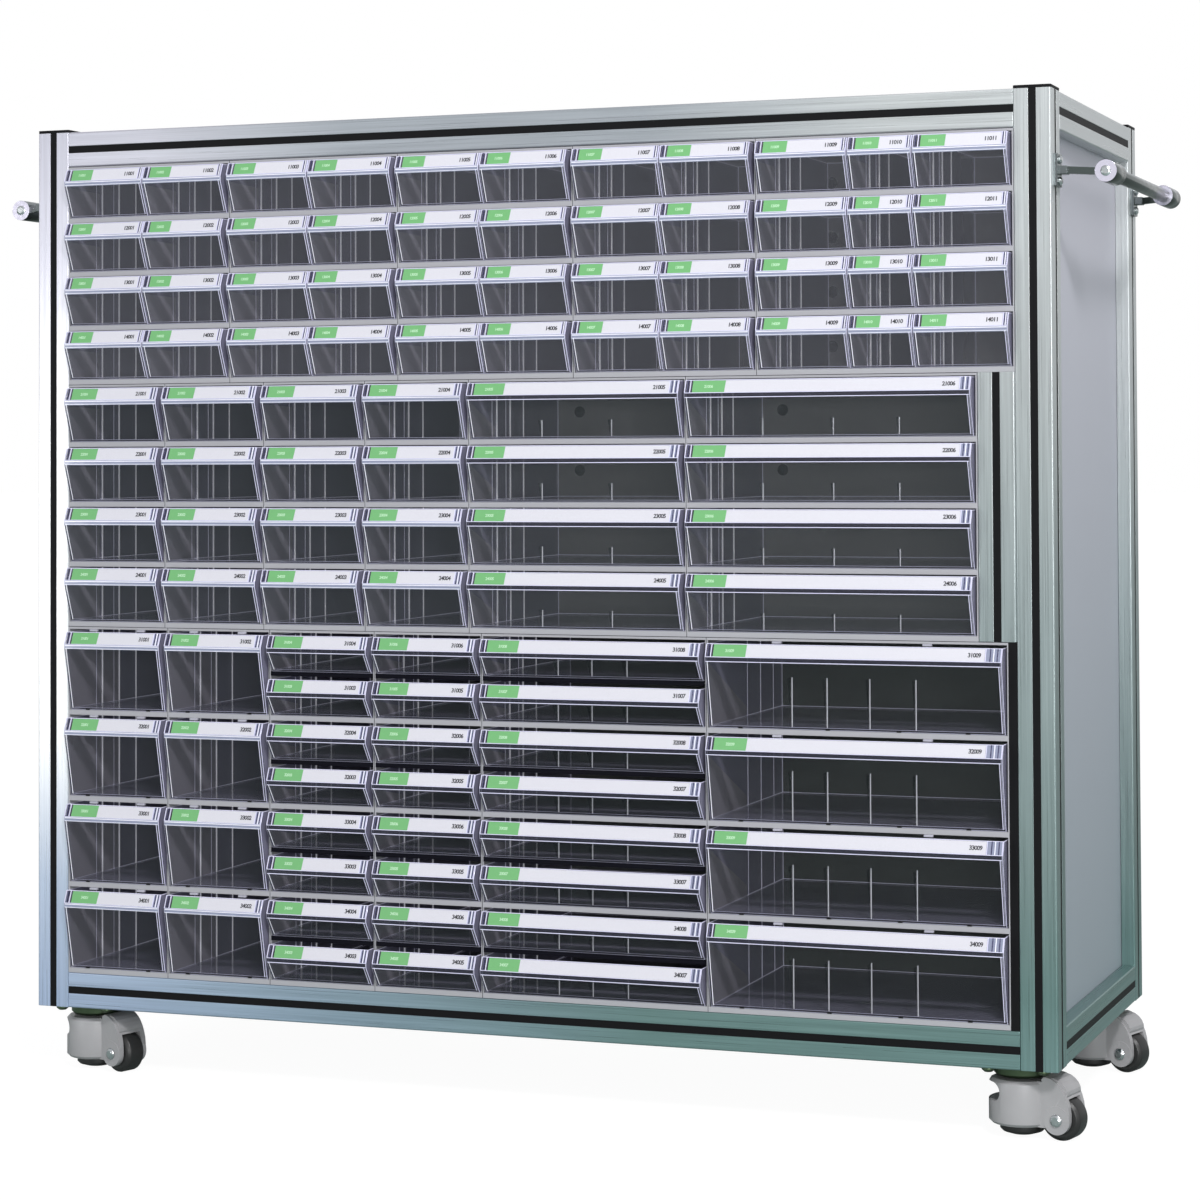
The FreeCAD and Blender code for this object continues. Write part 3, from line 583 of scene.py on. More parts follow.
# Both chromes carry painted reflections; the brackets' front tint is darker.
CHROME = Chrome("polished_chrome")
BRACKET_CHROME = Chrome("chrome_of_brackets", srgb(112, 118, 120), side=srgb(104, 112, 112))
ZINC = Plated("bright_zinc", (0.62, 0.65, 0.66), (0.16, 0.3))
DARK_STEEL = Plated("dark_green_steel", srgb(92, 108, 84), (0.3, 0.45))
NYLON = Moulded("light_grey_nylon", srgb(162, 161, 163), (0.3, 0.42), 600, 0.04 * MM, 0.2)
RUBBER = Moulded("black_rubber", (0.005, 0.0065, 0.006), (0.3, 0.4), 500, 0.03 * MM, gloss=0.004)
RED = Moulded("red_dial_plastic", srgb(120, 26, 20), (0.3, 0.45))
FLOOR = Paper("studio_paper")


# Meshes


class Shape:
    """Points and faces of one piece, each face with the number of its finish."""

    def __init__(self) -> None:
        """Start without points or faces."""
        self.points: list[Point] = []
        self.faces: list[tuple[int, ...]] = []
        self.finishes: list[int] = []

    def add(self, points: Iterable[Point], faces: Iterable[Sequence[int]], finish: int = 0) -> None:
        """Add points and the faces between them.

        Args:
            points: The new points.
            faces: Faces that count from the first new point.
            finish: The number of their finish.
        """
        start = len(self.points)
        self.points.extend(tuple(p) for p in points)
        for face in faces:
            self.faces.append(tuple(start + i for i in face))
            self.finishes.append(finish)

    def prism(self, outline: Sequence[Flat], left: float, right: float, finish: int = 0) -> None:
        """Sweep a closed outline in the YZ plane from left to right.

        Args:
            outline: The outline's corners.
            left: Where the sweep starts on X.
            right: Where it ends.
            finish: The number of the finish.
        """
        count = len(outline)
        ends = [(x, y, z) for x in (left, right) for y, z in outline]
        skins = [(i, (i + 1) % count, count + (i + 1) % count, count + i) for i in range(count)]
        self.add(ends, [*skins, range(count), range(count, 2 * count)], finish)

    def box(self, low: Point, high: Point, finish: int = 0) -> None:
        """Add a box between two corners.

        Args:
            low: The lowest corner.
            high: The highest corner.
            finish: The number of the finish.
        """
        outline = [(low[1], low[2]), (high[1], low[2]), (high[1], high[2]), (low[1], high[2])]
        self.prism(outline, low[0], high[0], finish)

    def lathe(self, profile: Sequence[Flat], place: Matrix, finish: int = 0, steps: int = 40) -> None:
        """Turn a profile round the Z axis of a place, closed at both ends.

        Args:
            profile: Radius and height of each ring, from one end to the other.
            place: Where the turned form goes.
            finish: The number of the finish.
            steps: How many points a ring has.
        """
        turns = [2 * math.pi * i / steps for i in range(steps)]
        points = [place @ Vector((r * math.cos(a), r * math.sin(a), h)) for r, h in profile for a in turns]
        last = (len(profile) - 1) * steps
        faces: list[Sequence[int]] = []
        for ring in range(0, last, steps):
            for i in range(steps):
                after = (i + 1) % steps
                faces.append((ring + i, ring + after, ring + steps + after, ring + steps + i))
        faces += [range(steps), range(last, last + steps)]
        self.add(points, faces, finish)

    def piece(self, name: str, finishes: Sequence[Finish], body: str, slot: str,
              replaces: Sequence[str] = (), bevel: float = 0, edge_finish: int = -1) -> bpy.types.Object:
        """Make the shape a piece of the scene that rides on a CAD body.

        Args:
            name: The piece's name.
            finishes: The finishes by their number.
            body: The CAD body that it rides on.
            slot: The record's material slot; not used.
            replaces: CAD nodes that it stands for.
            bevel: Width of the rounded edges, or 0 for none.
            edge_finish: The number of the edges' finish, or -1 for that of the faces beside them.

        Returns:
            The new object.
        """
        mesh = bpy.data.meshes.new(name)
        mesh.from_pydata(self.points, [], self.faces)
        for finish in finishes:
            mesh.materials.append(finish.material)
        mesh.polygons.foreach_set("material_index", self.finishes)
        tidy = bmesh.new()
        tidy.from_mesh(mesh)
        bmesh.ops.recalc_face_normals(tidy, faces=tidy.faces)
        tidy.to_mesh(mesh)
        tidy.free()
        mesh.shade_smooth()
        mesh.set_sharp_from_angle(angle=math.radians(32))
        made = bpy.data.objects.new(name, mesh)
        bpy.context.scene.collection.objects.link(made)
        if bevel:
            soften(made, bevel, edge_finish)
        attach(made, body)
        if replaces:
            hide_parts(*replaces)
        log.info("%s: %d faces on %s", name, len(self.faces), body)
        return made


def soften(thing: bpy.types.Object, width: float, edge_finish: int = -1) -> None:
    """Round the sharp edges of an object with a modifier.

    Args:
        thing: The object.
        width: Width of the rounding.
        edge_finish: The number of the edges' finish, or -1 for that of the faces beside them.
    """
    bevel = thing.modifiers.new("rounded_edges", "BEVEL")
    bevel.width = width
    bevel.segments = 2
    bevel.limit_method = "ANGLE"
    bevel.angle_limit = math.radians(35)
    bevel.use_clamp_overlap = True
    bevel.material = edge_finish


def dress(node: str, finish: Finish, bevel: float = 0) -> None:
    """Give a CAD node its finish and, where asked, rounded edges.

    Args:
        node: The node's name.
        finish: Its finish.
        bevel: Width of the rounding, or 0 for none.
    """
    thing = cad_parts[node]
    thing.data.materials.clear()
    thing.data.materials.append(finish.material)
    if bevel:
        weld = thing.modifiers.new("joined_points", "WELD")
        weld.merge_threshold = 0.001 * MM
        soften(thing, bevel)
    log.info("%s: dressed in %s", node, finish.name)


# Drawers


class Kind(Enum):
    """The kinds of drawer that the housings hold."""

    SMALL = "small"
    MINI = "mini"
    NARROW = "narrow"
    MEDIUM = "medium"
    WIDE = "wide"
    TALL = "tall"
    FLAT = "flat"
    FLAT_MEDIUM = "flat_medium"
    TALL_WIDE = "tall_wide"


@dataclass(frozen=True)
class KindLook:
    """What sets one kind of drawer apart."""

    green_width: float
    end_gap: float = 9 * MM
    front_rib_shares: tuple[float, ...] = ()
    rib_height_share: float = 0.9
    latch_shares: tuple[float, ...] = ()
    foot_shares: tuple[float, ...] = ()
    # has_deep_ledge picks the darker ledge plastic, painted shade, and a single painted highlight line.
    has_deep_ledge: bool = True
    has_deep_ribs: bool = False
    sheen: Flat = (58 * MM, 0.3)


# The sheen is painted light on the left side wall: how deep it reaches and the share of its height.
HIGH_SHEEN = (58 * MM, 0.9)
LOOKS: dict[Kind, KindLook] = {
    Kind.SMALL: KindLook(26 * MM, 6 * MM, has_deep_ledge=False, sheen=HIGH_SHEEN),
    Kind.MINI: KindLook(25 * MM, 6 * MM, has_deep_ledge=False, sheen=HIGH_SHEEN),
    Kind.NARROW: KindLook(32 * MM, has_deep_ledge=False, sheen=HIGH_SHEEN),
    Kind.MEDIUM: KindLook(35 * MM, 11 * MM, (0.33, 0.66), 0.45),
    Kind.WIDE: KindLook(36 * MM, 12 * MM, (0.26, 0.51, 0.74), 0.45),
    Kind.TALL: KindLook(33 * MM, latch_shares=(0.25, 0.75), foot_shares=(0.16, 0.8),
                        has_deep_ledge=False, sheen=(100 * MM, 0.9)),
    Kind.FLAT: KindLook(34 * MM),
    Kind.FLAT_MEDIUM: KindLook(36 * MM, 12 * MM, (0.335, 0.49, 0.65), 0.95),
    Kind.TALL_WIDE: KindLook(36 * MM, 18 * MM, (0.28, 0.40, 0.545, 0.7), 0.76, (0.235, 0.745),
                             (0.1, 0.4, 0.64, 0.87), has_deep_ribs=True, sheen=(115 * MM, 0.15)),
}


@dataclass(frozen=True)
class DrawerPlace:
    """Where one drawer stands in its housing."""

    kind: Kind
    body: str
    number: str
    left: float
    right: float
    base: float
    top: float


@dataclass(frozen=True)
class Tier:
    """A housing with its four rows of drawers."""

    name: str
    digit: int
    head_gap: float
    bays: tuple[tuple[tuple[Kind, float], ...], ...]
    own_nodes: dict[tuple[int, int, int], str] = field(default_factory=dict)
    rows: int = 4
    roof: float = 3 * MM
    shelf: float = 5.5 * MM
    half_shelf: float = 5 * MM
    upright: float = 3 * MM
    side_gap: float = 1.9 * MM
    pair_gap: float = 1 * MM
    rest_gap: float = 0.3 * MM

    @property
    def node(self) -> str:
        """Give the name of the CAD node that holds the tier's housing."""
        return self.name + "_housing"

    @property
    def pitch(self) -> float:
        """Give the height from one shelf to the next."""
        low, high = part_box(self.node)
        return (high.z - low.z - self.roof) / self.rows

    @property
    def width(self) -> float:
        """Give the housing's whole width."""
        low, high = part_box(self.node)
        return high.x - low.x

    def edges(self) -> list[float]:
        """Give the middle of every upright, from left to right."""
        found = [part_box(self.node)[0].x]
        for bay in self.bays:
            found.append(found[-1] + self.width * sum(share for _, share in bay))
        return found

    def places(self) -> Iterator[DrawerPlace]:
        """Give every drawer of the tier.

        Yields:
            One drawer place after another, row by row from the bottom.
        """
        low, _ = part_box(self.node)
        names = ("fourth", "third", "second", "first")
        for row in range(self.rows):
            base = low.z + row * self.pitch + self.shelf + self.rest_gap
            edge, column = low.x, 0
            for bay_number, bay in enumerate(self.bays):
                for place, (kind, share) in enumerate(bay):
                    width = share * self.width
                    left = edge + (self.pair_gap if place else self.upright) / 2
                    left += 0 if place else self.side_gap
                    last = place == len(bay) - 1
                    right = edge + width - (self.upright if last else self.pair_gap) / 2
                    right -= self.side_gap if last else 0
                    room = self.pitch - self.shelf
                    levels = [base]
                    if kind in (Kind.FLAT, Kind.FLAT_MEDIUM):
                        room = (room - self.half_shelf) / 2
                        levels.append(base + room + self.half_shelf)
                    body = self.own_nodes.get(
                        (row, bay_number, place), f"{self.name}_{names[row]}_row_drawers")
                    for level in levels:
                        column += 1
                        number = f"{self.digit}{self.rows - row}{column:03d}"
                        top = level + room - self.rest_gap - self.head_gap
                        yield DrawerPlace(kind, body, number, left, right, level, top)
                    edge += width


# Each column's share of its housing's width
MINI_SHARE = 0.063
SMALL_SHARE = (1 - MINI_SHARE) / 10
NARROW_SHARE = 0.117
MEDIUM_SHARE = 0.2352
WIDE_SHARE = 1 - 4 * NARROW_SHARE - MEDIUM_SHARE
TIERS = (
    Tier("top", 1, 1.5 * MM,
         (((Kind.SMALL, SMALL_SHARE),) * 2,) * 4
         + (((Kind.SMALL, SMALL_SHARE), (Kind.MINI, MINI_SHARE), (Kind.SMALL, SMALL_SHARE)),),
         {(3, 4, 2): "top_right_drawer", (3, 4, 1): "top_mini_drawer"}),
    Tier("middle", 2, 1.5 * MM,
         (((Kind.NARROW, NARROW_SHARE),),) * 4 + (((Kind.MEDIUM, MEDIUM_SHARE),), ((Kind.WIDE, WIDE_SHARE),)),
         {(3, 5, 0): "middle_wide_drawer", (2, 4, 0): "middle_medium_drawer",
          (3, 0, 0): "middle_narrow_drawer"}),
    Tier("low", 3, 3 * MM,
         (((Kind.TALL, NARROW_SHARE),),) * 2 + (((Kind.FLAT, NARROW_SHARE),),) * 2
         + (((Kind.FLAT_MEDIUM, MEDIUM_SHARE),), ((Kind.TALL_WIDE, WIDE_SHARE),)),
         {(3, 5, 0): "low_wide_drawer", (2, 0, 0): "low_tall_drawer"}),
)
LOW_TIER = TIERS[2]


class Numerals:
    """Plain digits as small raised meshes, made once each."""

    height = 4.6 * MM
    pace = 2.75 * MM
    rise = 0.04 * MM
    boldness = 0.2 * MM

    def __init__(self) -> None:
        """Make the ten digits."""
        self.digits: dict[str, tuple[list[Vector], list[tuple[int, ...]]]] = {}
        for digit in "0123456789":
            curve = bpy.data.curves.new("digit", "FONT")
            curve.body = digit
            curve.size = self.height * 1.42
            curve.extrude = self.rise
            curve.offset = self.boldness
            curve.resolution_u = 2
            curve.align_x = "CENTER"
            holder = bpy.data.objects.new("digit", curve)
            bpy.context.scene.collection.objects.link(holder)
            mesh = bpy.data.meshes.new_from_object(holder)
            self.digits[digit] = (
                [v.co.copy() for v in mesh.vertices], [tuple(p.vertices) for p in mesh.polygons])
            bpy.data.objects.remove(holder)
            bpy.data.curves.remove(curve)
            bpy.data.meshes.remove(mesh)

    def write(self, shape: Shape, text: str, place: Matrix, finish: int) -> None:
        """Put digits side by side into a shape.

        Args:
            shape: The shape that takes them.
            text: The digits.
            place: The left foot of the first digit, with X along the line and Y up.
            finish: The number of their finish.
        """
        for count, digit in enumerate(text):
            points, faces = self.digits[digit]
            step = Matrix.Translation(((count + 0.5) * self.pace, 0, 0))
            shape.add([place @ step @ p for p in points], faces, finish)


def inset(outline: Sequence[Flat], steps: Sequence[float]) -> list[Flat]:
    """Move each side of a convex outline inwards by its own step.

    Args:
        outline: The corners, clockwise as seen with Y to the right and Z up.
        steps: One step for the side that starts at each corner.

    Returns:
        The corners of the moved outline.
    """
    count = len(outline)
    lines = []
    for i, step in enumerate(steps):
        (y0, z0), (y1, z1) = outline[i], outline[(i + 1) % count]
        length = math.hypot(y1 - y0, z1 - z0)
        normal = ((z1 - z0) / length, -(y1 - y0) / length)
        lines.append((*normal, normal[0] * y0 + normal[1] * z0 + step))
    corners = []
    for i in range(count):
        a, b, c = lines[i - 1]
        d, e, f = lines[i]
        spread = a * e - b * d
        corners.append(((c * e - b * f) / spread, (a * f - c * d) / spread))
    return corners


def fillet(before: Flat, corner: Flat, after: Flat, radius: float, steps: int = 2) -> list[Flat]:
    """Round one corner of an outline.

    Args:
        before: The corner before it.
        corner: The corner itself.
        after: The corner after it.
        radius: The radius of the rounding.
        steps: How many straight pieces the rounding has.

    Returns:
        The points that stand for the corner.
    """
    back = (Vector(before) - Vector(corner)).normalized()
    ahead = (Vector(after) - Vector(corner)).normalized()
    half = back.angle(ahead) / 2
    middle = Vector(corner) + (back + ahead).normalized() * radius / math.sin(half)
    reach = radius / math.tan(half)
    start = Vector(corner) + back * reach - middle
    end = Vector(corner) + ahead * reach - middle
    return [tuple(middle + start.slerp(end, i / steps) * radius) for i in range(steps + 1)]


class Print(Enum):
    """The finishes of a label by their number."""

    WHITE = 0
    GREEN = 1
    DARK_INK = 2
    PALE_INK = 3


class Part(Enum):
    """The finishes of a clear drawer by their number."""

    WALL = 0
    SIDE = 1
    LEDGE = 2
    # A darker copy of the ledge plastic: painted shade.
    SHADED_LEDGE = 3
    # Painted highlights on the edges, ribs and lines.
    EDGE = 4
    RIB_HIGHLIGHT = 5
    SHADE = 6
    SHEEN = 7


@dataclass(frozen=True)
class Drawer:
    """One clear drawer with its label, ribs and feet."""

    place: DrawerPlace
    wall: float = 1.6 * MM
    floor: float = 2 * MM
    depth: float = 243 * MM
    reach: float = 15 * MM
    top_reach: float = 9 * MM
    label_drop: float = 14 * MM
    ledge: float = 4.5 * MM
    nose_radii: Flat = (5 * MM, 3.5 * MM)
    ribs: tuple[tuple[float, float, float], ...] = (
        (51 * MM, 0.5 * MM, 0.5 * MM), (63 * MM, 1.3 * MM, 1.3 * MM), (89 * MM, 0.5 * MM, 0.5 * MM),
        (100 * MM, 1.3 * MM, 1.3 * MM), (138 * MM, 1.1 * MM, 1.1 * MM))
    deep_ribs: tuple[tuple[float, float, float], ...] = (
        (119 * MM, 0.8 * MM, 0.5 * MM), (164 * MM, 1 * MM, 0.6 * MM), (209 * MM, 0.8 * MM, 0.5 * MM))
    rib_head: float = 2 * MM
    bright_rib_rise: float = 1 * MM
    front_rib: Flat = (1.1 * MM, 2.5 * MM)
    front_rib_tip: float = 0.8 * MM
    side_line: Flat = (0.8 * MM, 0.4 * MM)
    side_line_places: Flat = (2.4 * MM, 3.4 * MM)
    line_proud: float = 0.1 * MM
    dark_line_inset: float = 0.7 * MM
    dark_line_width: float = 1.1 * MM
    dark_line_rise: float = 0.06 * MM
    ledge_line_end: float = 1 * MM
    ledge_line_depth: float = 0.6 * MM
    ledge_line_set: float = 0.02 * MM
    deep_ledge_line: Flat = (0.3 * MM, 0.5 * MM)
    ledge_lines: tuple[Flat, ...] = ((0.1, 0.5 * MM), (0.9, 0.9 * MM))
    sheen_thickness: float = 0.2 * MM
    sheen_reach: float = 8 * MM
    sheen_drop: float = 2 * MM
    stop_width: float = 0.9 * MM
    stop_rise: float = 1.1 * MM
    # Label channel bars in the painted highlight and painted dark line finishes.
    start_bars: tuple[tuple[float, Part], ...] = (
        (0.4 * MM, Part.EDGE), (3.4 * MM, Part.SHADE), (6.2 * MM, Part.EDGE))
    clip_bars: tuple[tuple[float, Part], ...] = ((0.3, Part.SHADE), (0.5, Part.RIB_HIGHLIGHT), (0.72, Part.SHADE))
    channel_end: float = 0.4 * MM
    channel_rise: float = 0.6 * MM
    channel: float = 0.7 * MM
    card_rise: float = 0.12 * MM
    card_thickness: float = 0.2 * MM
    card_margin: float = 0.9 * MM
    card_start: float = 9 * MM
    number_gap: float = 4 * MM
    small_number: float = 0.7
    slant: float = 0.5 * MM
    foot: Point = (5 * MM, 1.9 * MM, 1.4 * MM)

    @property
    def width(self) -> float:
        """Give the drawer's width."""
        return self.place.right - self.place.left

    @property
    def look(self) -> KindLook:
        """Give what sets the drawer's kind apart."""
        return LOOKS[self.place.kind]

    @property
    def ledge_foot(self) -> float:
        """Give the height at which the front wall meets the label ledge."""
        return self.place.top - self.label_drop - self.ledge

    @property
    def front_height(self) -> float:
        """Give the height of the wall under the label ledge."""
        return self.ledge_foot - self.place.base

    @property
    def outline(self) -> list[tuple[Flat, Part]]:
        """Give the side outline clockwise from the bottom front, with the finish of each next side."""
        p = self.place
        foot = (FRONT, p.base)
        low_nose = (FRONT - self.reach, self.ledge_foot)
        nose = (FRONT - self.reach, p.top - self.label_drop)
        top = (FRONT - self.top_reach, p.top)
        low_round = fillet(foot, low_nose, nose, self.nose_radii[0])
        high_round = fillet(low_nose, nose, top, self.nose_radii[1])
        # The deep kinds take the darker ledge plastic, painted shade.
        ledge = Part.SHADED_LEDGE if self.look.has_deep_ledge else Part.LEDGE
        found = [(foot, Part.WALL)]
        found += [(corner, ledge) for corner in (*low_round, *high_round[:-1])]
        found += [(high_round[-1], Part.WALL), (top, Part.EDGE)]
        found += [((FRONT + self.depth, p.top), Part.WALL), ((FRONT + self.depth, p.base), Part.SIDE)]
        return found

    @property
    def label_place(self) -> Matrix:
        """Give the label face: X along it, Y up its slope and Z out of it."""
        slope = Vector((0, self.reach - self.top_reach, self.label_drop)).normalized()
        along = Vector((1, 0, 0))
        out = along.cross(slope)
        turn = Matrix((along, slope, out)).transposed().to_4x4()
        corner = (self.place.left, FRONT - self.reach, self.place.top - self.label_drop)
        return Matrix.Translation(corner) @ turn

    @property
    def label_height(self) -> float:
        """Give the label face's height up its slope."""
        return math.hypot(self.reach - self.top_reach, self.label_drop)

    def on_label(self, shape: Shape, corners: Sequence[Flat], low: float, high: float, finish: int) -> None:
        """Put a flat slab on the label face.

        Args:
            shape: The shape that takes it.
            corners: Its outline along and up the face.
            low: Where its underside is, out of the face.
            high: Where its top is.
            finish: The number of its finish.
        """
        count = len(corners)
        points = [self.label_place @ Vector((x, y, h)) for h in (low, high) for x, y in corners]
        skins = [(i, (i + 1) % count, count + (i + 1) % count, count + i) for i in range(count)]
        shape.add(points, [*skins, range(count), range(count, 2 * count)], finish)

    def bar_on_label(self, shape: Shape, low: Flat, high: Flat, rise: float, finish: int) -> None:
        """Put a straight bar on the label face.

        Args:
            shape: The shape that takes it.
            low: Its lower left corner along and up the face.
            high: Its upper right corner.
            rise: How far it stands out of the face.
            finish: The number of its finish.
        """
        self.on_label(shape, [low, (high[0], low[1]), high, (low[0], high[1])], 0, rise, finish)

    def add_shell(self, shape: Shape) -> None:
        """Add the open box with its slanted front.

        Args:
            shape: The shape that takes it.
        """
        p = self.place
        outer = [corner for corner, _ in self.outline]
        parts = [part for _, part in self.outline]
        count = len(outer)
        rim = count - 3
        steps = [self.wall] * count
        steps[rim], steps[-1] = 0, self.floor
        inner = inset(outer, steps)
        points = [(x, y, z) for x in (p.left, p.right) for y, z in outer]
        points += [(x, y, z) for x in (p.left + self.wall, p.right - self.wall) for y, z in inner]
        first = len(shape.points)
        sides = [range(k * count, (k + 1) * count) for k in range(4)]
        shape.add(points, sides, Part.SIDE.value)
        skins: list[tuple[tuple[int, ...], Part]] = []
        for start in range(count):
            end = (start + 1) % count
            if start != rim:
                face = (start, end, end + count, start + count)
                skins.append((face, parts[start]))
                skins.append((tuple(i + 2 * count for i in face), parts[start]))
        corners = (rim, rim + 1, rim + 1 + count, rim + count)
        for start, end in zip(corners, (*corners[1:], corners[0])):
            skins.append(((start, end, end + 2 * count, start + 2 * count), Part.EDGE))
        for face, part in skins:
            shape.faces.append(tuple(first + i for i in face))
            shape.finishes.append(part.value)

    def front_places(self, back: float, heights: Sequence[float]) -> list[float]:
        """Give where the slanting front wall stands at some heights.

        Args:
            back: How far behind the wall's outside the places are.
            heights: The heights.

        Returns:
            One place along Y for each height.
        """
        lean = self.reach / self.front_height
        return [FRONT + back - lean * (z - self.place.base) for z in heights]

    def add_side_ribs(self, shape: Shape) -> None:
        """Add the upright ribs on the side walls in the painted highlight finishes.

        Args:
            shape: The shape that takes them.
        """
        p = self.place
        for depth, width, rise in (self.deep_ribs if self.look.has_deep_ribs else self.ribs):
            # Painted highlight: taller ribs take the brighter of the two highlight finishes.
            part = Part.RIB_HIGHLIGHT if rise > self.bright_rib_rise else Part.EDGE
            for side, inward in ((p.left + self.wall, 1), (p.right - self.wall, -1)):
                ends = sorted((side, side + inward * rise))
                low = (ends[0], FRONT + depth, p.base + self.floor)
                shape.box(low, (ends[1], low[1] + width, p.top - self.rib_head), part.value)

    def add_front_ribs(self, shape: Shape) -> None:
        """Add the ribs behind the front wall, each with a painted highlight strip, and the painted highlight
        line beside each of its ends.

        Args:
            shape: The shape that takes them.
        """
        p = self.place
        low = p.base + self.floor
        width, rise = self.front_rib
        high = low + self.look.rib_height_share * (self.front_height - self.floor)
        foot, head = self.front_places(1.2 * self.wall, (low, high))
        edge, tip = foot + rise, foot + rise + self.front_rib_tip
        plate = [(foot, low), (head, high), (edge, high), (edge, low)]
        # Painted highlight: a bright strip along the front edge of each rib.
        bright = [(edge, low), (edge, high), (tip, high), (tip, low)]
        for share in self.look.front_rib_shares:
            x = p.left + share * self.width
            shape.prism(plate, x, x + width / 2, Part.WALL.value)
            shape.prism(bright, x, x + width, Part.RIB_HIGHLIGHT.value)
        top = self.ledge_foot
        foot, head = self.front_places(-self.line_proud, (low, top))
        width, thick = self.side_line
        line = [(foot, low), (head, top), (head + thick, top), (foot + thick, low)]
        # Painted highlight lines near the front's left and right ends.
        left, right = self.side_line_places
        for x, part in ((p.left + left, Part.RIB_HIGHLIGHT), (p.right - right, Part.EDGE)):
            shape.prism(line, x, x + width, part.value)

    def add_dark_lines(self, shape: Shape) -> None:
        """Add painted dark lines just inside the front edges, where clear plastic bends the light and looks
        dark.

        Args:
            shape: The shape that takes them.
        """
        p = self.place
        corners = [corner for corner, _ in self.outline]
        count = len(corners)
        steps = (self.dark_line_inset, self.dark_line_inset + self.dark_line_width)
        near, far = (inset(corners, [step] * count) for step in steps)
        for side, out in ((p.left, -1), (p.right, 1)):
            start, end = sorted((side, side + out * self.dark_line_rise))
            for i in range(count - 3):
                shape.prism([near[i], near[i + 1], far[i + 1], far[i]], start, end, Part.SHADE.value)

    def add_sheen(self, shape: Shape) -> None:
        """Add the painted light on the left side wall and the painted highlight lines on the ledge.

        Args:
            shape: The shape that takes them.
        """
        p = self.place
        low, high = p.base + self.floor, self.ledge_foot
        nose = FRONT - self.reach
        left, right = p.left + self.ledge_line_end, p.right - self.ledge_line_end
        if self.look.has_deep_ledge:
            under, over = self.deep_ledge_line
            shape.box((left, nose - self.line_proud, high - under),
                      (right, nose + self.ledge_line_depth, high + over), Part.EDGE.value)
        else:
            for share, thick in self.ledge_lines:
                z = high + share * self.ledge
                shape.box((left, nose - self.line_proud, z - thick),
                          (right, nose + self.ledge_line_set + self.ledge_line_depth, z), Part.RIB_HIGHLIGHT.value)
        # Painted light: a lighter patch on the left side wall where a lamp shines in.
        depth, share = self.look.sheen
        x, far = p.left + self.wall, FRONT + depth
        light = [(FRONT, low), (far, low), (far, low + share * (high - low)),
                 (FRONT - self.sheen_reach, high - self.sheen_drop)]
        shape.prism(light, x, x + self.sheen_thickness, Part.SHEEN.value)

    def add_channel(self, shape: Shape) -> None:
        """Add the channel and the clip that hold the label.

        Args:
            shape: The shape that takes them.
        """
        top, gap = self.label_height, self.look.end_gap
        end = self.width - gap
        side = self.channel_end
        self.bar_on_label(shape, (end + side, side), (self.width - 2 * side, top - side), side,
                          Part.LEDGE.value)
        for low, high in ((0, self.channel), (top - self.channel, top)):
            self.bar_on_label(shape, (side, low), (self.width - side, high), self.channel_rise,
                              Part.EDGE.value)
        # The bars are painted highlights and painted dark lines on the channel and the clip.
        bars = [*self.start_bars, (end + side, Part.EDGE)]
        bars += [(end + share * gap, part) for share, part in self.clip_bars]
        bars.append((self.width - self.stop_width - side, Part.EDGE))
        for x, part in bars:
            low, high = (x, self.channel_rise), (x + self.stop_width, top - self.channel_rise)
            self.bar_on_label(shape, low, high, self.stop_rise, part.value)

    def add_label(self, shape: Shape, numerals: Numerals) -> None:
        """Add the card and its plain numbers.

        Args:
            shape: The shape that takes them: white, green, dark ink and pale ink.
            numerals: The digits.
        """
        green = self.look.green_width
        low, high = self.card_margin, self.label_height - self.card_margin
        start, end = self.card_start, self.width - self.look.end_gap
        seam, lean = start + green, start + green + self.slant
        under, over = self.card_rise, self.card_rise + self.card_thickness
        self.on_label(shape, [(start, low), (seam, low), (lean, high), (start, high)], under, over,
                      Print.GREEN.value)
        self.on_label(shape, [(seam, low), (end, low), (end, high), (lean, high)], under, over,
                      Print.WHITE.value)
        middle = (low + high) / 2
        length = len(self.place.number) * Numerals.pace
        inner = start + (green - self.small_number * length) / 2
        for left, ink, size in ((end - length - self.number_gap, Print.DARK_INK, 1.0),
                                (inner, Print.PALE_INK, self.small_number)):
            spot = Matrix.Translation((left, middle - size * Numerals.height / 2, over))
            spot = self.label_place @ spot @ Matrix.Scale(size, 4)
            numerals.write(shape, self.place.number, spot, ink.value)

    def add_feet(self, shape: Shape) -> None:
        """Add the small black feet at the front of a low drawer.

        Args:
            shape: The shape that takes them.
        """
        p = self.place
        for share in self.look.foot_shares:
            x = p.left + share * self.width
            width, depth, height = self.foot
            low = (x, FRONT - 0.9 * MM, p.base + 0.1 * MM)
            shape.box(low, (x + width, low[1] + depth, low[2] + height))


# The lower tiers take darker copies of the clear plastic: painted shade.
TIER_WALLS = {"top": WALL, "middle": MIDDLE_TIER_SHADED_WALL, "low": LOW_TIER_SHADED_WALL}


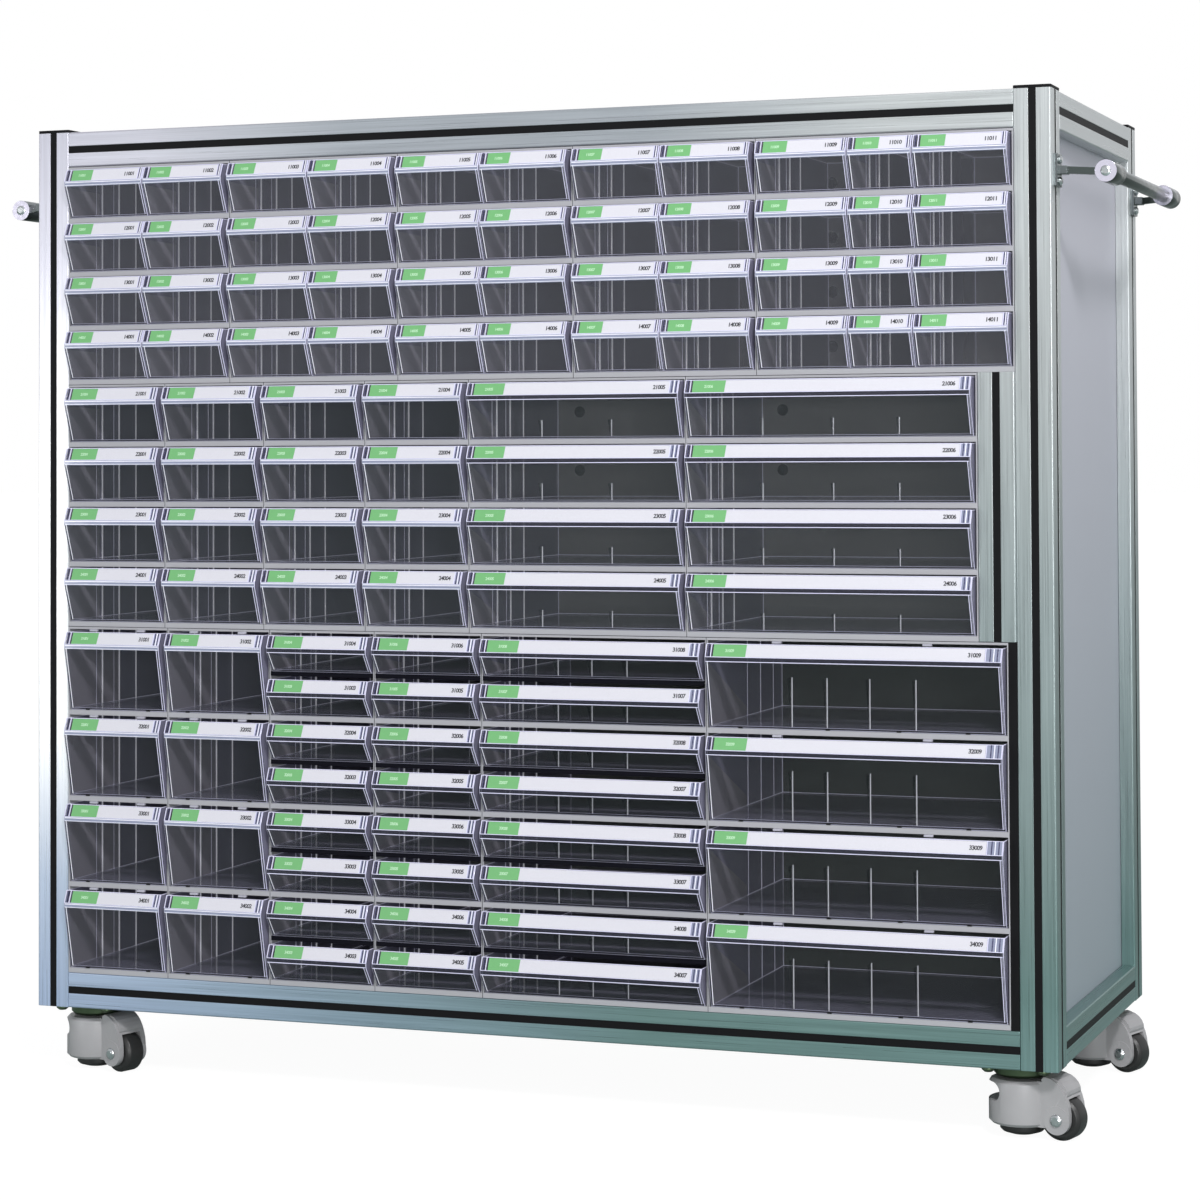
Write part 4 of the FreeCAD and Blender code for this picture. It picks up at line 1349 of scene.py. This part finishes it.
@dataclass
class DrawerSet:
    """All drawers, gathered by the CAD body that they ride on."""

    numerals: Numerals = field(default_factory=Numerals)
    edge: float = 0.5 * MM

    def build(self) -> None:
        """Make the clear shells, the labels and the feet."""
        by_body: dict[str, list[Drawer]] = {}
        for tier in TIERS:
            for place in tier.places():
                by_body.setdefault(place.body, []).append(Drawer(place))
        for body, drawers in by_body.items():
            shells, ribs, labels, feet = Shape(), Shape(), Shape(), Shape()
            for drawer in drawers:
                drawer.add_shell(shells)
                drawer.add_side_ribs(ribs)
                drawer.add_front_ribs(ribs)
                drawer.add_dark_lines(ribs)
                drawer.add_sheen(ribs)
                drawer.add_channel(ribs)
                drawer.add_label(labels, self.numerals)
                drawer.add_feet(feet)
            wall = TIER_WALLS[body.split("_")[0]]
            clear = (wall, SIDE, LEDGE, SHADED_LEDGE, EDGE, RIB_HIGHLIGHT, PAINTED_DARK_LINE, SHEEN)
            # The shells' rounded edges take the painted highlight finish.
            shells.piece(body + "_clear_shells", clear, body, "clear_drawer", (body,), self.edge,
                         Part.EDGE.value)
            ribs.piece(body + "_ribs", clear, body, "clear_drawer")
            labels.piece(body + "_labels", (WHITE_CARD, GREEN_CARD, INK, PALE_INK), body, "clear_drawer")
            if feet.faces:
                feet.piece(body + "_feet", (BLACK,), body, "clear_drawer", bevel=0.3 * MM)


# Frame, housings, handles and casters


@dataclass
class SlottedFrame:
    """The aluminium frame with its covers, caps and panels."""

    edge: float = 0.5 * MM

    def build(self) -> None:
        """Dress the frame's CAD nodes."""
        for node, finish in (("corner_posts", POST_METAL), ("filler_profile", POST_METAL),
                             ("long_rails", RAIL_METAL), ("end_rails", END_METAL)):
            dress(node, finish, self.edge)
        dress("slot_covers", BLACK)
        dress("post_caps", BLACK, self.edge)
        for node in ("end_panels", "back_panel", "top_panel", "floor_panel"):
            dress(node, PALE)
        dress("floor_bearers", TAB_GREY)


@dataclass
class Housings:
    """The three grey housings with their joints, latches, cable holes and windows."""

    joint: float = 0.5 * MM
    proud: float = 0.15 * MM
    hole_radius: float = 6.5 * MM
    window: float = 9 * MM
    window_depth: float = 24 * MM
    window_rise: float = 26 * MM
    tab_width: float = 10 * MM
    tab_height: float = 2.4 * MM
    tab_reach: float = 2.5 * MM
    tab_gap: float = 0.4 * MM
    strip: float = 0.3 * MM
    holes: tuple[tuple[int, float, tuple[int, ...]], ...] = (
        (0, 285 * MM, (0, 1, 2, 3)), (0, 72 * MM, (3,)), (1, -24 * MM, (2, 3)), (1, 225 * MM, (2, 3)))
    hole_rise: float = 38 * MM

    def build(self) -> None:
        """Dress the housings and add what is on them."""
        for tier in TIERS:
            dress(tier.node, GREY, 0.3 * MM)
        dress("end_strip", BLACK)
        self.build_joints()
        self.build_latches()
        self.build_holes()
        self.build_half_shelf_strips()

    def build_joints(self) -> None:
        """Add the dark joints between neighbouring housings."""
        shape = Shape()
        half = self.joint / 2
        for tier in TIERS:
            low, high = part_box(tier.node)
            for x in tier.edges()[1:-1]:
                shape.box((x - half, FRONT - self.proud, low.z), (x + half, FRONT, high.z))
            shape.box((low.x, FRONT - self.proud, high.z - self.joint), (high.x, FRONT, high.z))
        shape.piece("housing_joints", (SHADOW,), CABINET, "grey_housing")

    def build_latches(self) -> None:
        """Add the small latches over the low tier's drawers."""
        shape = Shape()
        for place in LOW_TIER.places():
            for share in LOOKS[place.kind].latch_shares:
                x = place.left + share * (place.right - place.left)
                foot = place.top + self.tab_gap
                low = (x - self.tab_width / 2, FRONT - self.tab_reach, foot)
                high = (x + self.tab_width / 2, FRONT + 1 * MM, foot + self.tab_height)
                shape.box(low, high)
        shape.piece("drawer_latches", (TAB_GREY,), CABINET, "grey_housing", bevel=0.4 * MM)

    def build_half_shelf_strips(self) -> None:
        """Cover the fronts of the half shelves, which stay in shadow between two flat drawers."""
        shape = Shape()
        low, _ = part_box(LOW_TIER.node)
        for place in LOW_TIER.places():
            is_upper = (place.base - low.z) % LOW_TIER.pitch > 0.3 * LOW_TIER.pitch
            if place.kind in (Kind.FLAT, Kind.FLAT_MEDIUM) and is_upper:
                left, right = place.left - LOW_TIER.side_gap, place.right + LOW_TIER.side_gap
                shape.box((left, low.y - self.strip, place.base - LOW_TIER.half_shelf),
                          (right, low.y, place.base))
        shape.piece("half_shelf_strips", (SHADOW,), CABINET, "grey_housing")

    def build_holes(self) -> None:
        """Add the cable holes in the back walls and the windows in an upright as thin dark plates, painted
        shade seen through the openings.
        """
        shape = Shape()
        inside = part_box("top_housing")[1].y - 3 * MM
        facing = Matrix.Rotation(math.radians(90), 4, "X")
        # The holes are real; their black is painted shade.
        for number, x, rows in self.holes:
            tier = TIERS[number]
            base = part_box(tier.node)[0].z
            for row in rows:
                centre = (x, inside, base + row * tier.pitch + self.hole_rise)
                radius = self.hole_radius
                profile = [(radius, 0), (radius, 0.2 * MM), (radius * 0.97, 0.25 * MM)]
                shape.lathe(profile, Matrix.Translation(centre) @ facing)
        wall = LOW_TIER.edges()[1] + LOW_TIER.upright / 2
        for row in range(LOW_TIER.rows):
            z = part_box(LOW_TIER.node)[0].z + row * LOW_TIER.pitch + self.window_rise
            y = FRONT + self.window_depth
            shape.box((wall, y, z), (wall + 0.2 * MM, y + self.window, z + self.window))
        shape.piece("cable_holes", (SHADOW,), CABINET, "grey_housing")


@dataclass
class Handles:
    """The two end handles."""

    def build(self) -> None:
        """Dress the handles' CAD nodes."""
        dress("handle_brackets", BRACKET_CHROME, 0.8 * MM)
        dress("handle_sockets", CHROME, 1.2 * MM)
        dress("handle_tubes", CHROME, 0.5 * MM)
        dress("handle_screws", ZINC, 0.4 * MM)


class Corner(Enum):
    """The four corners that have a caster."""

    FRONT_LEFT = "front_left"
    FRONT_RIGHT = "front_right"
    BACK_LEFT = "back_left"
    BACK_RIGHT = "back_right"


@dataclass
class Casters:
    """The four levelling casters."""

    def build(self) -> None:
        """Dress the casters' CAD nodes."""
        dress("caster_plates", DARK_STEEL, 0.4 * MM)
        dress("caster_bolts", DARK_STEEL, 0.8 * MM)
        for corner in Corner:
            name = corner.value
            dress(name + "_caster_body", NYLON, 1.2 * MM)
            dress(name + "_wheel", RUBBER, 1 * MM)
            dress(name + "_axle", ZINC, 0.8 * MM)
            dress(name + "_levelling_foot", RUBBER, 1 * MM)
            dress(name + "_dial", RED, 0.6 * MM)


# Studio


@dataclass
class Studio:
    """The pale floor, the soft lights and the camera."""

    turn: float = math.radians(19.018)
    tilt: float = math.radians(-1.366)
    roll: float = math.radians(-0.305)
    stand: Point = (1244.0 * MM, -3088.4 * MM, 708.5 * MM)
    picture_size: float = 1200.0
    focal_pixels: float = 2884.2
    middle_pixels: Flat = (734.8, 379.3)
    sensor: float = 36.0
    floor_half: float = 40.0
    sky: tuple[tuple[float, Colour], ...] = (
        (0.0, (0.14, 0.17, 0.16)),
        (0.43, (0.3, 0.34, 0.33)),
        (0.52, (0.74, 0.75, 0.76)),
        (1.0, (0.5, 0.5, 0.52)),
    )

    def build(self) -> None:
        """Make the floor, the lights and the camera."""
        self.build_floor()
        self.build_lights()
        self.build_camera()

    def build_floor(self) -> None:
        """Make the floor, which isn't part of the cabinet."""
        h = self.floor_half
        mesh = bpy.data.meshes.new("studio_floor")
        mesh.from_pydata([(-h, -h, 0), (h, -h, 0), (h, h, 0), (-h, h, 0)], [], [(0, 1, 2, 3)])
        mesh.materials.append(FLOOR.material)
        made = bpy.data.objects.new("studio_floor", mesh)
        bpy.context.scene.collection.objects.link(made)

    def lamp(self, name: str, at: Point, size: Flat, power: float, colour: Colour) -> None:
        """Hang one soft light that faces the cabinet.

        Args:
            name: The light's name.
            at: Where it hangs.
            size: Its width and height.
            power: Its power in watts.
            colour: Its colour.
        """
        light = bpy.data.lights.new(name, "AREA")
        light.shape = "RECTANGLE"
        light.size, light.size_y = size
        light.energy = power
        light.color = colour
        made = bpy.data.objects.new(name, light)
        made.location = at
        made.rotation_euler = (Vector((0, 0, 0.6)) - Vector(at)).to_track_quat("-Z", "Y").to_euler()
        bpy.context.scene.collection.objects.link(made)

    def build_lights(self) -> None:
        """Make the surroundings, white in the picture and graded for what they light, and the soft lights."""
        world = bpy.data.worlds.new("studio_surroundings")
        bpy.context.scene.world = world
        world.use_nodes = True
        tree = world.node_tree
        graded = tree.nodes["Background"]
        white = tree.nodes.new("ShaderNodeBackground")
        white.inputs["Color"].default_value = (1, 1, 1, 1)
        split = tree.nodes.new("ShaderNodeSeparateXYZ")
        height = tree.nodes.new("ShaderNodeMapRange")
        height.inputs["From Min"].default_value = -1
        bands = tree.nodes.new("ShaderNodeValToRGB")
        while len(bands.color_ramp.elements) < len(self.sky):
            bands.color_ramp.elements.new(0.5)
        for element, (at, colour) in zip(bands.color_ramp.elements, self.sky):
            element.position = at
            element.color = (*colour, 1)
        direct = tree.nodes.new("ShaderNodeLightPath")
        choice = tree.nodes.new("ShaderNodeMixShader")
        around = tree.nodes.new("ShaderNodeTexCoord")
        for out, into in ((around.outputs["Generated"], split.inputs[0]),
                          (split.outputs["Z"], height.inputs["Value"]),
                          (height.outputs[0], bands.inputs[0]),
                          (bands.outputs[0], graded.inputs["Color"]),
                          (direct.outputs["Is Camera Ray"], choice.inputs[0]),
                          (graded.outputs[0], choice.inputs[1]),
                          (white.outputs[0], choice.inputs[2]),
                          (choice.outputs[0], tree.nodes["World Output"].inputs["Surface"])):
            tree.links.new(out, into)
        self.lamp("high_light", (2.0, -3.0, 3.2), (0.5, 0.5), 110, (1.0, 0.99, 1.0))
        self.lamp("front_light", (2.5, -5.6, 0.9), (2.0, 1.4), 110, (1.0, 1.0, 1.0))
        self.lamp("left_low_light", (-4.3, -5.4, 0.5), (0.9, 0.9), 30, (0.98, 0.98, 1.0))
        bpy.context.scene.view_settings.view_transform = "Standard"

    def build_camera(self) -> None:
        """Make the camera at the photograph's viewpoint."""
        back = Vector((math.sin(self.turn) * math.cos(self.tilt),
                       -math.cos(self.turn) * math.cos(self.tilt), math.sin(self.tilt)))
        right = (-back).cross(Vector((0, 0, 1))).normalized()
        up = right.cross(-back)
        level = (right, up)
        right = math.cos(self.roll) * level[0] + math.sin(self.roll) * level[1]
        up = math.cos(self.roll) * level[1] - math.sin(self.roll) * level[0]
        data = bpy.data.cameras.new("photograph_view")
        data.sensor_width = self.sensor
        data.lens = self.focal_pixels / self.picture_size * self.sensor
        data.shift_x = (self.picture_size / 2 - self.middle_pixels[0]) / self.picture_size
        data.shift_y = (self.middle_pixels[1] - self.picture_size / 2) / self.picture_size
        data.clip_start, data.clip_end = 0.05, 100
        made = bpy.data.objects.new("photograph_view", data)
        made.matrix_world = Matrix.Translation(self.stand) @ Matrix((right, up, back)).transposed().to_4x4()
        bpy.context.scene.collection.objects.link(made)
        bpy.context.scene.camera = made


def main() -> None:
    """Build every sub-assembly in order."""
    logging.basicConfig(level=logging.INFO, format="%(message)s")
    for assembly in (SlottedFrame(), Housings(), DrawerSet(), Handles(), Casters(), Studio()):
        assembly.build()
        log.info("%s is done", type(assembly).__name__)


if __name__ == "__main__":
    main()
